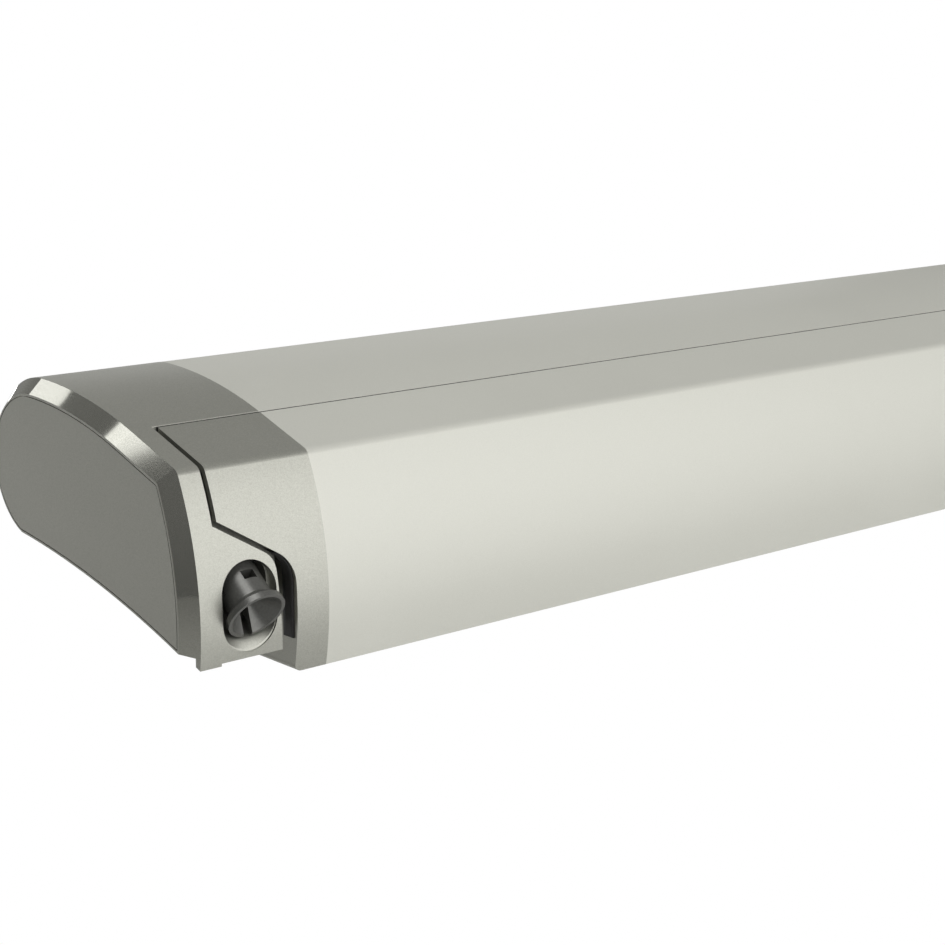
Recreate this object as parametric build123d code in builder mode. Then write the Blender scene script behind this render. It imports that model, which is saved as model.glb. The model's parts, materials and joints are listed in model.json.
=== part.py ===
from build123d import *

import os
from math import acos, asin, atan2, cos, degrees, hypot, pi, radians, sin, sqrt, tan

os.makedirs("parts", exist_ok=True)

# Whole awning: X runs along it, Y runs back to the vehicle, Z is up
total_length = 2600.0
origin_depth = 100.0
origin_height = 5.0
cut_overrun = 5.0
hair_gap = 0.3
pin_clearance = 0.05

# Cross-section of the closed case, measured back from its front plane and up from its foot
front_radius = 168.0
front_centre_height = 20.5
crease_round = 5.5
top_slope = 18.5
seam_depth = 54.7
seam_height = 105.4
seam_gap = 1.5
crown_radius = 283.0
crown_end_slope = 1.2
back_radius = 45.45
arch_back_depth = 147.0
arch_back_height = 38.3
arch_front_depth = 6.6
arch_front_height = 7.0
arch_radius = 690.0

# End caps
cap_length = 74.5
cap_wall = 3.0
bevel = 7.5
cover_thickness = 1.5
cover_margin = 8.4
cover_under_margin = 1.0
cover_groove = 0.5
foot_drop = 5.8
skirt_drop = 4.4
foot_width = 5.0

# Rail cap, which fits into a pocket of the end cap
pocket_start = 12.0
pocket_gap = 2.8
pocket_wing_height = 66.0
pocket_corner = 44.0
pocket_corner_height = 46.6
pocket_inner = 48.6
pocket_round = 12.0
pocket_depth = 9.0
pocket_air = 1.5
block_start = 55.5
block_back = 41.5
block_shelf = 84.0
wing_wall = 3.0
wing_height = 67.7
wing_corner_height = 42.6
wing_round = 19.0
block_round = 4.0

# Crank opening in the front of the gear end cap
crank_offset = 28.1
opening_width = 31.2
opening_height = 44.6
opening_centre_height = 25.8

# Crank socket, on a line that points down and out of the opening
socket_front = -5.4
socket_height = 22.3
socket_angle = 36.87
socket_rim_radius = 15.0
socket_lip = 1.8
socket_rim_length = 3.0
socket_flare_length = 6.0
socket_cone_length = 12.0
socket_body_radius = 12.0
socket_length = 27.0
socket_bore_radius = 4.5
socket_bore_depth = 25.0
socket_slot_width = 5.0
socket_window_width = 7.0
socket_window_length = 5.0
socket_window_depth = 14.0

# Worm, worm wheel and the pair of spur gears behind the crank
shaft_radius = 5.0
worm_depth = 95.0
worm_length = 24.0
worm_starts = 2
worm_pitch_radius = 10.0
worm_module = 1.714
worm_backlash = 1.3
worm_phase = 9.5
worm_shaft_end = 121.0
wheel_teeth = 14
wheel_width = 6.0
gear_module = 2.5
gear_teeth = 22
gear_width = 9.0
gear_offset = 49.0
gear_backlash = 0.8
pressure_angle = 20.0
root_share = 1.25
tip_share = 0.85
root_flank_share = 0.7
tip_flank_share = 1.25
plate_thickness = 3.0
inner_plate_offset = 57.0
journal_radius = 8.0
bearing_length = 8.0
bearing_radius = 9.0
front_bearing_place = 60.0
back_bearing_place = 112.0
pillar_radius = 4.0
lower_pillar_depth = 113.0
lower_pillar_height = 42.0
upper_pillar_depth = 105.0
upper_pillar_height = 106.0
outer_plate_front = 34.0
inner_plate_front = 62.0
gear_axis_down = 13.8
gear_axis_forward = 53.2

# Roller and the rolled canopy
roller_forward = 2.5
roller_lift = 1.0
roller_radius = 30.0
roller_wall = 1.6
roller_offset = 84.0
plug_length = 30.0
plug_flange = 2.0
canopy_thickness = 0.6
roll_radius = 35.0
canopy_offset = 104.0
keder_radius = 3.0
keder_play = 0.1
groove_setback = 6.7
groove_drop = 4.2
groove_wall = 2.0
groove_slot = 1.6
tail_length = 6.0

# Extruded case
case_wall = 2.2
lip_thickness = 2.2
top_lip_drop = 4.0
front_lip_depth = 43.0
front_lip_height = 28.0
rib_depth = 97.0
rib_height = 14.0
seal_thickness = 1.0
seal_height = 4.0

# Lead rail
rail_wall = 2.4
rail_foot = -13.3
channel_depth = 5.5
channel_width = 34.0
channel_roof = 16.0
channel_foot = -8.0
rail_web = 2.0
chamber_height = 86.0
chamber_back = 40.0

# Folding arms, which swing in one plane that dips toward the front
arm_pitch = 8.0
elbow_from_middle = 110.0
arm_spacing = 32.0
arm_swing = 69.0
shoulder_offset = 102.5
shoulder_depth = 76.0
shoulder_height = 60.0
tube_width = 28.0
tube_height = 40.0
tube_wall = 2.5
tube_round = 5.0
eye_radius = 14.0
eye_height = 24.0
ear_thickness = 6.0
elbow_radius = 15.0
elbow_gap = 15.4
arm_pin_radius = 5.0
pin_head_radius = 8.0
pin_head_height = 2.5
casting_length = 46.0
spigot_length = 40.0
casting_swell = 1.5
eye_neck = 20.0
collar_start = 36.0
bracket_side = 16.5
bracket_thickness = 10.5
bracket_back = 18.0
bracket_foot_front = 64.0
bracket_foot_back = 90.0
bracket_foot_top = 44.8
wrist_web_front = 28.0
wrist_web_back = 17.0
wrist_block_back = 20.0
wrist_block_low = 38.0
wrist_block_high = 70.0
fork_block = 30.0
fork_ear_root = 34.0
tongue_root = 30.0
tongue_step = 2.0
tongue_play = 0.3
spring_radius = 10.0
spring_hook_radius = 3.0
spring_share = 0.683

# Support legs, stored in the foot of the lead rail
leg_pivot_offset = 112.5
leg_height = 4.0
leg_width = 13.0
leg_depth = 19.0
leg_wall = 1.6
leg_from_middle = 100.0
leg_slip = 0.4
leg_overlap = 80.0
leg_end = 12.0
leg_pin_radius = 4.0
hanger_wall = 1.5
hanger_length = 40.0
sole_length = 44.0
sole_thickness = 3.5
sole_drop = 7.0
sole_heel = 2.0
foot_eye_radius = 6.0
foot_eye_width = 5.0
foot_pin_radius = 3.0
clevis_length = 10.0
lock_length = 36.0
lock_width = 7.0
lock_thickness = 2.0
lock_barrel_radius = 2.4
lock_pin_radius = 1.5
lock_drop = 2.8
lock_ear = 2.4
lock_setback = 8.0

# Roof brackets under the arch of the case
bracket_place_share = 0.346
roof_bracket_width = 60.0
roof_bracket_front = 48.0
roof_bracket_back = 160.0
roof_base_thickness = 5.0
roof_base_length = 140.0
roof_base_front = 75.0
roof_base_back = 125.0
roof_saddle = 4.0
roof_rib = 5.0
roof_hole_radius = 4.25
roof_hole_spacing = 110.0

# Worked out from the sizes above
half_length = total_length / 2
arm_span = half_length - bevel - shoulder_offset - elbow_from_middle
leg_length = half_length - bevel - leg_pivot_offset - leg_from_middle
slope = radians(top_slope)
pitch = radians(arm_pitch)
dip = radians(socket_angle)
end_slope = radians(crown_end_slope)
crown_centre = (seam_depth + crown_radius * sin(slope), seam_height - crown_radius * cos(slope))
back_centre = (
    crown_centre[0] - (crown_radius - back_radius) * sin(end_slope),
    crown_centre[1] + (crown_radius - back_radius) * cos(end_slope),
)
front_centre = (front_radius, front_centre_height)
arch_chord = hypot(arch_back_depth - arch_front_depth, arch_back_height - arch_front_height)
arch_drop = sqrt(arch_radius**2 - (arch_chord / 2) ** 2)
arch_centre = (
    (arch_front_depth + arch_back_depth) / 2 + arch_drop * (arch_back_height - arch_front_height) / arch_chord,
    (arch_front_height + arch_back_height) / 2 - arch_drop * (arch_back_depth - arch_front_depth) / arch_chord,
)
roller_depth = back_centre[0] - roller_forward
roller_height = back_centre[1] + roller_lift
case_half = half_length - bevel - cap_length
idler_depth = roller_depth - gear_axis_forward
idler_height = roller_height - gear_axis_down
fold_rest = asin(arm_spacing / 2 / arm_span)
elbow_reach = arm_span * cos(fold_rest)
skirt_low = rail_foot - 2 * cut_overrun


def front_depth(height):
    """Depth of the front face at a height: the front is one arc about a point behind it."""
    return front_radius - sqrt(front_radius**2 - (height - front_centre_height) ** 2)


def arch_height(depth):
    """Height of the underside at a depth: one long arc."""
    return arch_centre[1] + sqrt(arch_radius**2 - (depth - arch_centre[0]) ** 2)


def section(x):
    """Plane across the awning at x, with depth and height as its own axes."""
    return Plane(origin=(x, -origin_depth, -origin_height), x_dir=(0, 1, 0), z_dir=(1, 0, 0))


def front_view(depth):
    """Plane facing forward at a depth, with X and height as its own axes."""
    return Plane(origin=(0, depth - origin_depth, -origin_height), x_dir=(1, 0, 0), z_dir=(0, -1, 0))


def left_x(offset):
    """X of a place measured inward from the outer edge of the left end cap."""
    return offset + bevel - half_length


def at(x, depth, height):
    """Point given by X and its place in the cross-section."""
    return Vector(x, depth - origin_depth, height - origin_height)


def fold_plane(lift=0.0):
    """Plane in which the left arm folds, with the shoulder pivot as its origin."""
    normal = Vector(0, -sin(pitch), cos(pitch))
    pivot = at(left_x(shoulder_offset), shoulder_depth, shoulder_height)
    return Plane(origin=pivot + normal * lift, x_dir=(1, 0, 0), z_dir=normal)


def socket_plane(inward=0.0):
    """Plane square to the crank line, facing out of the opening."""
    outward = Vector(0, -cos(dip), -sin(dip))
    mouth = at(left_x(crank_offset), socket_front, socket_height)
    return Plane(origin=mouth - outward * inward, x_dir=(1, 0, 0), z_dir=outward)


def meeting(centre_a, radius_a, centre_b, radius_b, side):
    """Point where two circles meet; side is 1 or -1 for the one or the other point."""
    across = (centre_b[0] - centre_a[0], centre_b[1] - centre_a[1])
    apart = hypot(*across)
    along = (apart**2 + radius_a**2 - radius_b**2) / (2 * apart)
    off = side * sqrt(radius_a**2 - along**2)
    unit = (across[0] / apart, across[1] / apart)
    return (centre_a[0] + along * unit[0] - off * unit[1], centre_a[1] + along * unit[1] + off * unit[0])


def bulge(start, end, centre):
    """Arc under a half circle from start to end about a centre."""
    radius = hypot(start[0] - centre[0], start[1] - centre[1])
    middle = Vector((start[0] + end[0]) / 2 - centre[0], (start[1] + end[1]) / 2 - centre[1]).normalized()
    return ThreePointArc(start, (centre[0] + radius * middle.X, centre[1] + radius * middle.Y), end)


def draw_cassette(inset=0.0, under=0.0, rounding=0.0, skirt=None, mode=Mode.ADD):
    """Outline of the closed case, moved inward by inset and its underside moved up by under.

    With a skirt, the front runs on down to that height and the underside is flat there.
    """
    seam = (seam_depth + inset * sin(slope), seam_height - inset * cos(slope))
    # the sloping top meets the front where the line from the seam reaches the front circle
    run = (cos(slope), sin(slope))
    away = (seam[0] - front_centre[0], seam[1] - front_centre[1])
    half = away[0] * run[0] + away[1] * run[1]
    reach = half + sqrt(half**2 - away[0] ** 2 - away[1] ** 2 + (front_radius - inset) ** 2)
    crease = (seam[0] - reach * run[0], seam[1] - reach * run[1])
    crown_end = (
        crown_centre[0] - (crown_radius - inset) * sin(end_slope),
        crown_centre[1] + (crown_radius - inset) * cos(end_slope),
    )
    if skirt is None:
        heel = meeting(back_centre, back_radius - inset, arch_centre, arch_radius + under, 1)
        toe = meeting(front_centre, front_radius - inset, arch_centre, arch_radius + under, -1)
    else:
        heel = (back_centre[0] + back_radius - inset, back_centre[1])
        toe = (front_radius - sqrt((front_radius - inset) ** 2 - (skirt - front_centre_height) ** 2), skirt)
    with BuildLine() as outline:
        bulge(toe, crease, front_centre)
        Line(crease, seam)
        bulge(seam, crown_end, crown_centre)
        bulge(crown_end, heel, back_centre)
        if skirt is None:
            bulge(heel, toe, arch_centre)
        else:
            Polyline(heel, (heel[0], skirt), toe)
        if rounding:
            fillet(outline.vertices().sort_by_distance(crease)[0], rounding)
    make_face(outline.edges(), mode=mode)


def box_between(low, high, mode=Mode.ADD):
    """Rectangle given by its lowest and highest corner."""
    with Locations((low[0], low[1])):
        Rectangle(high[0] - low[0], high[1] - low[1], align=Align.MIN, mode=mode)


def save(piece, name):
    """Label a finished piece and write its file."""
    piece.part.label = name
    export_step(piece.part, f"parts/{name}.step")
    print(name, round(piece.part.volume), len(piece.part.solids()))


def save_right(piece, name):
    """Write the mirror image of a left piece as the right one."""
    with BuildPart() as right:
        mirror(piece.part, about=Plane.YZ)
    save(right, name)


def save_both(piece, name):
    """Write a left piece and its mirror image."""
    save(piece, f"{name}_left")
    save_right(piece, f"{name}_right")


def save_pair(piece, name):
    """Write a left piece and its mirror image as two solids in one file."""
    with BuildPart() as pair:
        add(piece.part)
        mirror(piece.part, about=Plane.YZ)
    save(pair, name)


# Case: an extruded shell that is open toward the front
split_height = (seam_height + front_lip_height) / 2
with BuildPart() as housing:
    with BuildSketch(section(-case_half)):
        draw_cassette()
        draw_cassette(case_wall, case_wall, mode=Mode.SUBTRACT)
        box_between(
            (-cut_overrun, split_height),
            (seam_depth + seam_gap, seam_height + cut_overrun),
            mode=Mode.SUBTRACT,
        )
        box_between((-cut_overrun, -cut_overrun), (front_lip_depth, split_height), mode=Mode.SUBTRACT)
        # lips along both edges of the opening
        lip_low = (seam_depth + seam_gap, seam_height - top_lip_drop)
        box_between(lip_low, (lip_low[0] + lip_thickness, seam_height))
        lip_back = front_lip_depth + lip_thickness
        box_between((front_lip_depth, arch_height(lip_back)), (lip_back, front_lip_height))
        # rib between the arms and the roller
        rib_low = (rib_depth, arch_height(rib_depth) + case_wall / 2)
        box_between(rib_low, (rib_depth + lip_thickness, rib_low[1] + rib_height))
    extrude(amount=2 * case_half)
save(housing, "housing")

# Rubber strip along the top lip of the case
seal_start = left_x(pocket_start + pocket_gap)
with BuildPart() as lip_seal:
    with BuildSketch(section(seal_start)):
        box_between(
            (seam_depth + seam_gap - seal_thickness, seam_height - top_lip_drop),
            (seam_depth + seam_gap, seam_height - top_lip_drop + seal_height),
        )
    extrude(amount=-2 * seal_start)
save(lip_seal, "lip_seal")


# End caps
def pocket_tool(grow):
    """Room that an end cap leaves for the rail cap, larger all round by grow."""
    low = rail_foot - 2 * cut_overrun
    high = seam_height + 2 * cut_overrun
    far = left_x(cap_length) + cut_overrun
    deep_start = left_x(pocket_inner) + pocket_air - grow
    with BuildPart() as tool:
        with BuildSketch(section(left_x(pocket_start) - grow)):
            draw_cassette(-cut_overrun, skirt=skirt_low)
            draw_cassette(pocket_depth + grow, skirt=skirt_low - cut_overrun, mode=Mode.SUBTRACT)
            box_between((seam_depth + pocket_air + grow, -half_length), (half_length, half_length), mode=Mode.SUBTRACT)
        extrude(amount=cap_length + cut_overrun)
        with BuildSketch(front_view(-2 * cut_overrun)):
            with BuildLine() as edge:
                Polyline(
                    (left_x(pocket_start) - grow, high),
                    (left_x(pocket_start) - grow, pocket_wing_height - grow),
                    (left_x(pocket_corner) - grow, pocket_corner_height - grow),
                    (left_x(pocket_inner) - grow, low),
                    (far, low),
                    (far, high),
                    close=True,
                )
                corner = (left_x(pocket_corner) - grow, pocket_corner_height - grow)
                fillet(edge.vertices().sort_by_distance(corner)[0], pocket_round)
            make_face()
        extrude(amount=-2 * seam_depth, mode=Mode.INTERSECT)
        with BuildSketch(section(deep_start)):
            draw_cassette(-cut_overrun, skirt=skirt_low)
            box_between(
                (block_back + pocket_air + grow, -half_length),
                (half_length, block_shelf - pocket_air - grow),
                mode=Mode.SUBTRACT,
            )
            box_between((seam_depth + pocket_air + grow, -half_length), (half_length, half_length), mode=Mode.SUBTRACT)
        extrude(amount=far - deep_start)
    return tool.part


with BuildPart() as cap_cavity:
    with BuildSketch(section(left_x(0))):
        draw_cassette(cap_wall, cap_wall)
    extrude(amount=cap_length + cut_overrun)
    add(pocket_tool(cap_wall), mode=Mode.SUBTRACT)


def end_cap():
    """Left end cap: bevelled toward its end, hollow, with a pocket for the rail cap."""
    with BuildPart() as cap:
        with BuildSketch(section(-half_length)):
            draw_cassette(bevel, rounding=crease_round / 2)
        with BuildSketch(section(left_x(0))):
            draw_cassette(rounding=crease_round)
        loft(ruled=True)
        with BuildSketch(section(left_x(0))):
            draw_cassette(rounding=crease_round)
        extrude(amount=cap_length)
        # foot below the front corner, then a skirt that goes on beside the pocket
        with BuildSketch(section(left_x(0))):
            draw_cassette(under=-foot_drop)
            box_between((foot_width, -half_length), (half_length, half_length), mode=Mode.SUBTRACT)
        extrude(amount=pocket_start)
        with BuildSketch(section(left_x(pocket_start))):
            draw_cassette(under=-skirt_drop)
            box_between((foot_width, -half_length), (half_length, half_length), mode=Mode.SUBTRACT)
        extrude(amount=pocket_inner - pocket_start)
        # recess for the side cover
        with BuildSketch(section(-half_length)):
            draw_cassette(cover_margin, cover_under_margin, rounding=crease_round / 2)
        extrude(amount=cover_thickness, mode=Mode.SUBTRACT)
        add(pocket_tool(0.0), mode=Mode.SUBTRACT)
        add(cap_cavity.part, mode=Mode.SUBTRACT)
    return cap


with BuildPart() as gear_cap:
    add(end_cap().part)
    with BuildSketch(front_view(-cut_overrun)):
        with Locations((left_x(crank_offset), opening_centre_height)):
            SlotOverall(opening_height, opening_width, rotation=90)
    extrude(amount=-(cut_overrun + 2 * cap_wall), mode=Mode.SUBTRACT)
save(gear_cap, "end_cap_left")
save_right(end_cap(), "end_cap_right")

with BuildPart() as side_cover:
    with BuildSketch(section(-half_length)):
        draw_cassette(
            cover_margin + cover_groove, cover_under_margin + cover_groove, rounding=crease_round / 2 - cover_groove
        )
    extrude(amount=cover_thickness)
save_both(side_cover, "side_cover")


# Lead rail: front wall and sloping top, a channel for the legs, a chamber and the canopy groove
groove_depth = seam_depth - groove_setback
groove_height = seam_height - groove_setback * tan(slope) - rail_wall / cos(slope) - groove_drop
rail_half = case_half
with BuildPart() as lead_rail:
    with BuildSketch(section(-rail_half)):
        draw_cassette(rounding=crease_round, skirt=skirt_low)
        draw_cassette(rail_wall, rounding=crease_round - rail_wall, skirt=skirt_low - cut_overrun, mode=Mode.SUBTRACT)
        box_between((seam_depth, -half_length), (half_length, half_length), mode=Mode.SUBTRACT)
        box_between((-half_length, -half_length), (half_length, rail_foot), mode=Mode.SUBTRACT)
        box_between(
            (channel_depth + rail_wall, -half_length), (half_length, split_height), mode=Mode.SUBTRACT
        )
        # channel for the legs
        channel_back = channel_depth + channel_width
        box_between(
            (front_depth(channel_roof) + rail_wall / 2, channel_roof), (channel_back + rail_web, channel_roof + rail_web)
        )
        box_between((channel_back, channel_foot), (channel_back + rail_web, channel_roof + rail_web))
        # chamber under the crease
        box_between(
            (front_depth(chamber_height) + rail_wall / 2, chamber_height), (chamber_back, chamber_height + rail_web)
        )
        chamber_top = seam_height - (seam_depth - chamber_back) * tan(slope) - rail_wall / 2
        box_between((chamber_back - rail_web, chamber_height), (chamber_back, chamber_top))
        # groove for the canopy's edge rod
        with Locations((groove_depth, groove_height)):
            Circle(keder_radius + keder_play + groove_wall)
            Circle(keder_radius + keder_play, mode=Mode.SUBTRACT)
        box_between(
            (groove_depth, groove_height - groove_slot / 2),
            (groove_depth + 2 * groove_setback, groove_height + groove_slot / 2),
            mode=Mode.SUBTRACT,
        )
    extrude(amount=2 * rail_half)
save(lead_rail, "lead_rail")

# Rail caps: a block that closes the rail, and a wing in front of the end cap
with BuildPart() as rail_cap:
    wing_start = left_x(pocket_start + pocket_gap)
    block_x = left_x(block_start)
    with BuildSketch(section(wing_start)):
        draw_cassette(rounding=crease_round, skirt=skirt_low)
        draw_cassette(wing_wall, rounding=crease_round - wing_wall, skirt=skirt_low - cut_overrun, mode=Mode.SUBTRACT)
        box_between((seam_depth, -half_length), (half_length, half_length), mode=Mode.SUBTRACT)
        box_between((-half_length, -half_length), (half_length, rail_foot), mode=Mode.SUBTRACT)
        box_between((block_back, -half_length), (half_length, split_height), mode=Mode.SUBTRACT)
    extrude(amount=left_x(cap_length) - wing_start)
    with BuildSketch(section(block_x)):
        draw_cassette(rounding=crease_round, skirt=skirt_low)
        box_between((block_back, -half_length), (half_length, block_shelf), mode=Mode.SUBTRACT)
        box_between((seam_depth, -half_length), (half_length, half_length), mode=Mode.SUBTRACT)
        box_between((-half_length, -half_length), (half_length, rail_foot), mode=Mode.SUBTRACT)
    extrude(amount=left_x(cap_length) - block_x)
    with BuildSketch(front_view(-cut_overrun)):
        with BuildLine() as wing_edge:
            Polyline(
                (wing_start, seam_height + cut_overrun),
                (wing_start, wing_height),
                (block_x, wing_corner_height),
                (block_x, rail_foot),
                (left_x(cap_length), rail_foot),
                (left_x(cap_length), seam_height + cut_overrun),
                close=True,
            )
            fillet(wing_edge.vertices().sort_by_distance((block_x, wing_corner_height))[0], wing_round)
            fillet(wing_edge.vertices().sort_by_distance((block_x, rail_foot))[0], block_round)
        make_face()
    extrude(amount=-2 * seam_depth, mode=Mode.INTERSECT)
save_both(rail_cap, "rail_cap")

# Edge rod of the canopy in the groove of the rail
canopy_half = -left_x(canopy_offset)
with BuildPart() as edge_rod:
    with BuildSketch(section(-canopy_half)):
        with Locations((groove_depth, groove_height)):
            Circle(keder_radius)
    extrude(amount=2 * canopy_half)
save(edge_rod, "edge_rod")

# Crank socket: a funnel with a bayonet slot and windows in its neck
with BuildPart() as crank_socket:
    with BuildSketch(socket_plane()):
        Circle(socket_rim_radius)
    extrude(amount=-socket_rim_length)
    with BuildSketch(socket_plane(socket_rim_length)):
        Circle(socket_rim_radius)
    with BuildSketch(socket_plane(socket_flare_length)):
        Circle(socket_body_radius)
    loft()
    with BuildSketch(socket_plane(socket_flare_length)):
        Circle(socket_body_radius)
    extrude(amount=socket_flare_length - socket_length)
    fillet(edges().filter_by(GeomType.CIRCLE).sort_by_distance(socket_plane().origin)[0], socket_lip / 2)
    with BuildSketch(socket_plane()):
        Circle(socket_rim_radius - socket_lip)
    with BuildSketch(socket_plane(socket_cone_length)):
        Circle(socket_bore_radius)
    loft(mode=Mode.SUBTRACT)
    with BuildSketch(socket_plane(socket_cone_length)):
        Circle(socket_bore_radius)
    extrude(amount=socket_cone_length - socket_bore_depth, mode=Mode.SUBTRACT)
    with BuildSketch(socket_plane()):
        box_between((-socket_slot_width / 2, -socket_rim_radius - cut_overrun), (socket_slot_width / 2, 0))
    extrude(amount=-socket_window_depth, mode=Mode.SUBTRACT)
    window = socket_plane(socket_window_depth + socket_window_length / 2)
    for turn in (0, 90):
        with BuildSketch(window):
            Rectangle(2 * socket_body_radius + cut_overrun, socket_window_width, rotation=turn)
        extrude(amount=socket_window_length / 2, both=True, mode=Mode.SUBTRACT)
save(crank_socket, "crank_socket")


# Gears
def gear_profile(plane, teeth, module, backlash, turn, bore):
    """Face of a straight-flanked gear; turn is the angle of one tooth."""
    pitch_radius = teeth * module / 2
    root = pitch_radius - root_share * module
    tip = pitch_radius + tip_share * module
    flank = tan(radians(pressure_angle))
    half_tooth = (pi * module / 2 - backlash) / 2
    root_half = half_tooth + root_share * module * flank * root_flank_share
    tip_half = half_tooth - tip_share * module * flank * tip_flank_share
    with BuildSketch(plane) as face:
        Circle(root)
        with PolarLocations(0, teeth, start_angle=turn):
            Polygon(
                (root - module / 2, -root_half),
                (root, -root_half),
                (pitch_radius, -half_tooth),
                (tip, -tip_half),
                (tip, tip_half),
                (pitch_radius, half_tooth),
                (root, root_half),
                (root - module / 2, root_half),
                align=None,
            )
        Circle(bore, mode=Mode.SUBTRACT)
    return face.sketch


def axis_plane(offset, depth, height):
    """Plane across a shaft along X, centred on the shaft."""
    return Plane(origin=at(left_x(offset), depth, height), x_dir=(0, 1, 0), z_dir=(1, 0, 0))


mesh_turn = degrees(atan2(gear_axis_down, gear_axis_forward))
with BuildPart() as worm_wheel:
    wheel_plane = axis_plane(crank_offset - wheel_width / 2, idler_depth, idler_height)
    wheel_turn = 90 + socket_angle
    extrude(gear_profile(wheel_plane, wheel_teeth, worm_module, worm_backlash, wheel_turn, shaft_radius), wheel_width)
save(worm_wheel, "worm_wheel")

with BuildPart() as idler_gear:
    idler_plane = axis_plane(gear_offset - gear_width / 2, idler_depth, idler_height)
    extrude(gear_profile(idler_plane, gear_teeth, gear_module, gear_backlash, mesh_turn, shaft_radius), gear_width)
save(idler_gear, "idler_gear")

with BuildPart() as roller_gear:
    roller_plane = axis_plane(gear_offset - gear_width / 2, roller_depth, roller_height)
    roller_turn = mesh_turn + 180 + 180 / gear_teeth
    extrude(gear_profile(roller_plane, gear_teeth, gear_module, gear_backlash, roller_turn, journal_radius), gear_width)
save(roller_gear, "roller_gear")

with BuildPart() as idler_shaft:
    with BuildSketch(axis_plane(hair_gap, idler_depth, idler_height)):
        Circle(shaft_radius)
    extrude(amount=inner_plate_offset + plate_thickness - hair_gap)
save(idler_shaft, "idler_shaft")

# Worm: helical threads on the shaft that the crank turns
worm_root = worm_pitch_radius - root_share * worm_module
worm_tip = worm_pitch_radius + tip_share * worm_module
worm_pitch = pi * worm_module
worm_lead = worm_starts * worm_pitch
thread_flank = tan(radians(pressure_angle))
half_thread = (worm_pitch / 2 - worm_backlash) / 2
thread_foot = half_thread + (worm_pitch_radius - worm_root) * thread_flank
thread_tip = half_thread - (worm_tip - worm_pitch_radius) * thread_flank
thread_end = socket_plane(worm_depth + worm_length / 2 - thread_foot)
with BuildPart() as worm_thread:
    helix = Edge.make_helix(worm_lead, worm_length - 2 * thread_foot, worm_root)
    with BuildSketch(Plane(origin=helix @ 0, x_dir=(1, 0, 0), z_dir=helix % 0)):
        Polygon(
            (-worm_module / 2, -thread_foot),
            (0, -thread_foot),
            (worm_tip - worm_root, -thread_tip),
            (worm_tip - worm_root, thread_tip),
            (0, thread_foot),
            (-worm_module / 2, thread_foot),
            align=None,
        )
    sweep(path=helix, is_frenet=True)

with BuildPart() as worm_shaft:
    with BuildSketch(socket_plane(socket_length)):
        Circle(shaft_radius)
    extrude(amount=socket_length - worm_shaft_end)
    with BuildSketch(socket_plane(worm_depth - worm_length / 2)):
        Circle(worm_root)
    extrude(amount=-worm_length)
    for start in range(worm_starts):
        turned = thread_end.location * Rotation(0, 0, worm_phase + start * 360 / worm_starts)
        add(worm_thread.part.moved(turned))
save(worm_shaft, "worm_shaft")

# Gear frame: two plates, two pillars and two bearings for the worm shaft
with BuildPart() as gear_frame:
    with BuildSketch(section(left_x(0))):
        draw_cassette(cap_wall, cap_wall)
        box_between((-half_length, -half_length), (outer_plate_front, half_length), mode=Mode.SUBTRACT)
    extrude(amount=plate_thickness)
    with BuildSketch(section(left_x(inner_plate_offset))):
        draw_cassette(cap_wall, cap_wall)
        box_between((-half_length, -half_length), (inner_plate_front, half_length), mode=Mode.SUBTRACT)
    extrude(amount=plate_thickness)
    with BuildSketch(section(left_x(0))):
        with Locations(
            (lower_pillar_depth, lower_pillar_height),
            (upper_pillar_depth, upper_pillar_height),
        ):
            Circle(pillar_radius)
    extrude(amount=inner_plate_offset + plate_thickness)
    for inward in (front_bearing_place, back_bearing_place):
        with BuildSketch(socket_plane(inward)):
            Circle(bearing_radius)
            box_between((-crank_offset, -bearing_radius), (0, bearing_radius))
        extrude(amount=-bearing_length)
        with BuildSketch(socket_plane(inward)):
            Circle(shaft_radius + pin_clearance)
        extrude(amount=-bearing_length, mode=Mode.SUBTRACT)
    with BuildSketch(axis_plane(0, idler_depth, idler_height)):
        Circle(shaft_radius + pin_clearance)
    extrude(amount=inner_plate_offset + plate_thickness, mode=Mode.SUBTRACT)
    with BuildSketch(axis_plane(inner_plate_offset, roller_depth, roller_height)):
        Circle(journal_radius + pin_clearance)
    extrude(amount=plate_thickness, mode=Mode.SUBTRACT)
save(gear_frame, "gear_frame")

with BuildPart() as roller_bearing:
    with BuildSketch(section(left_x(inner_plate_offset))):
        draw_cassette(cap_wall, cap_wall)
        box_between((-half_length, -half_length), (inner_plate_front, half_length), mode=Mode.SUBTRACT)
    extrude(amount=plate_thickness)
    with BuildSketch(axis_plane(inner_plate_offset, roller_depth, roller_height)):
        Circle(journal_radius + pin_clearance)
    extrude(amount=plate_thickness, mode=Mode.SUBTRACT)
save_right(roller_bearing, "roller_bearing")


# Roller with a plug in each end, and the canopy rolled on it
def roller_plug(journal_start):
    """Left plug of the roller, with its journal from the given place."""
    with BuildPart() as plug:
        with BuildSketch(axis_plane(journal_start, roller_depth, roller_height)):
            Circle(journal_radius)
        extrude(amount=roller_offset - journal_start)
        with BuildSketch(axis_plane(roller_offset - plug_flange, roller_depth, roller_height)):
            Circle(roller_radius)
        extrude(amount=plug_flange)
        with BuildSketch(axis_plane(roller_offset, roller_depth, roller_height)):
            Circle(roller_radius - roller_wall)
        extrude(amount=plug_length)
    return plug


save(roller_plug(gear_offset - gear_width), "roller_plug_left")
save_right(roller_plug(inner_plate_offset - plate_thickness), "roller_plug_right")

with BuildPart() as roller_tube:
    with BuildSketch(axis_plane(roller_offset, roller_depth, roller_height)):
        Circle(roller_radius)
        Circle(roller_radius - roller_wall, mode=Mode.SUBTRACT)
    extrude(amount=-2 * left_x(roller_offset))
save(roller_tube, "roller_tube")

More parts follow.
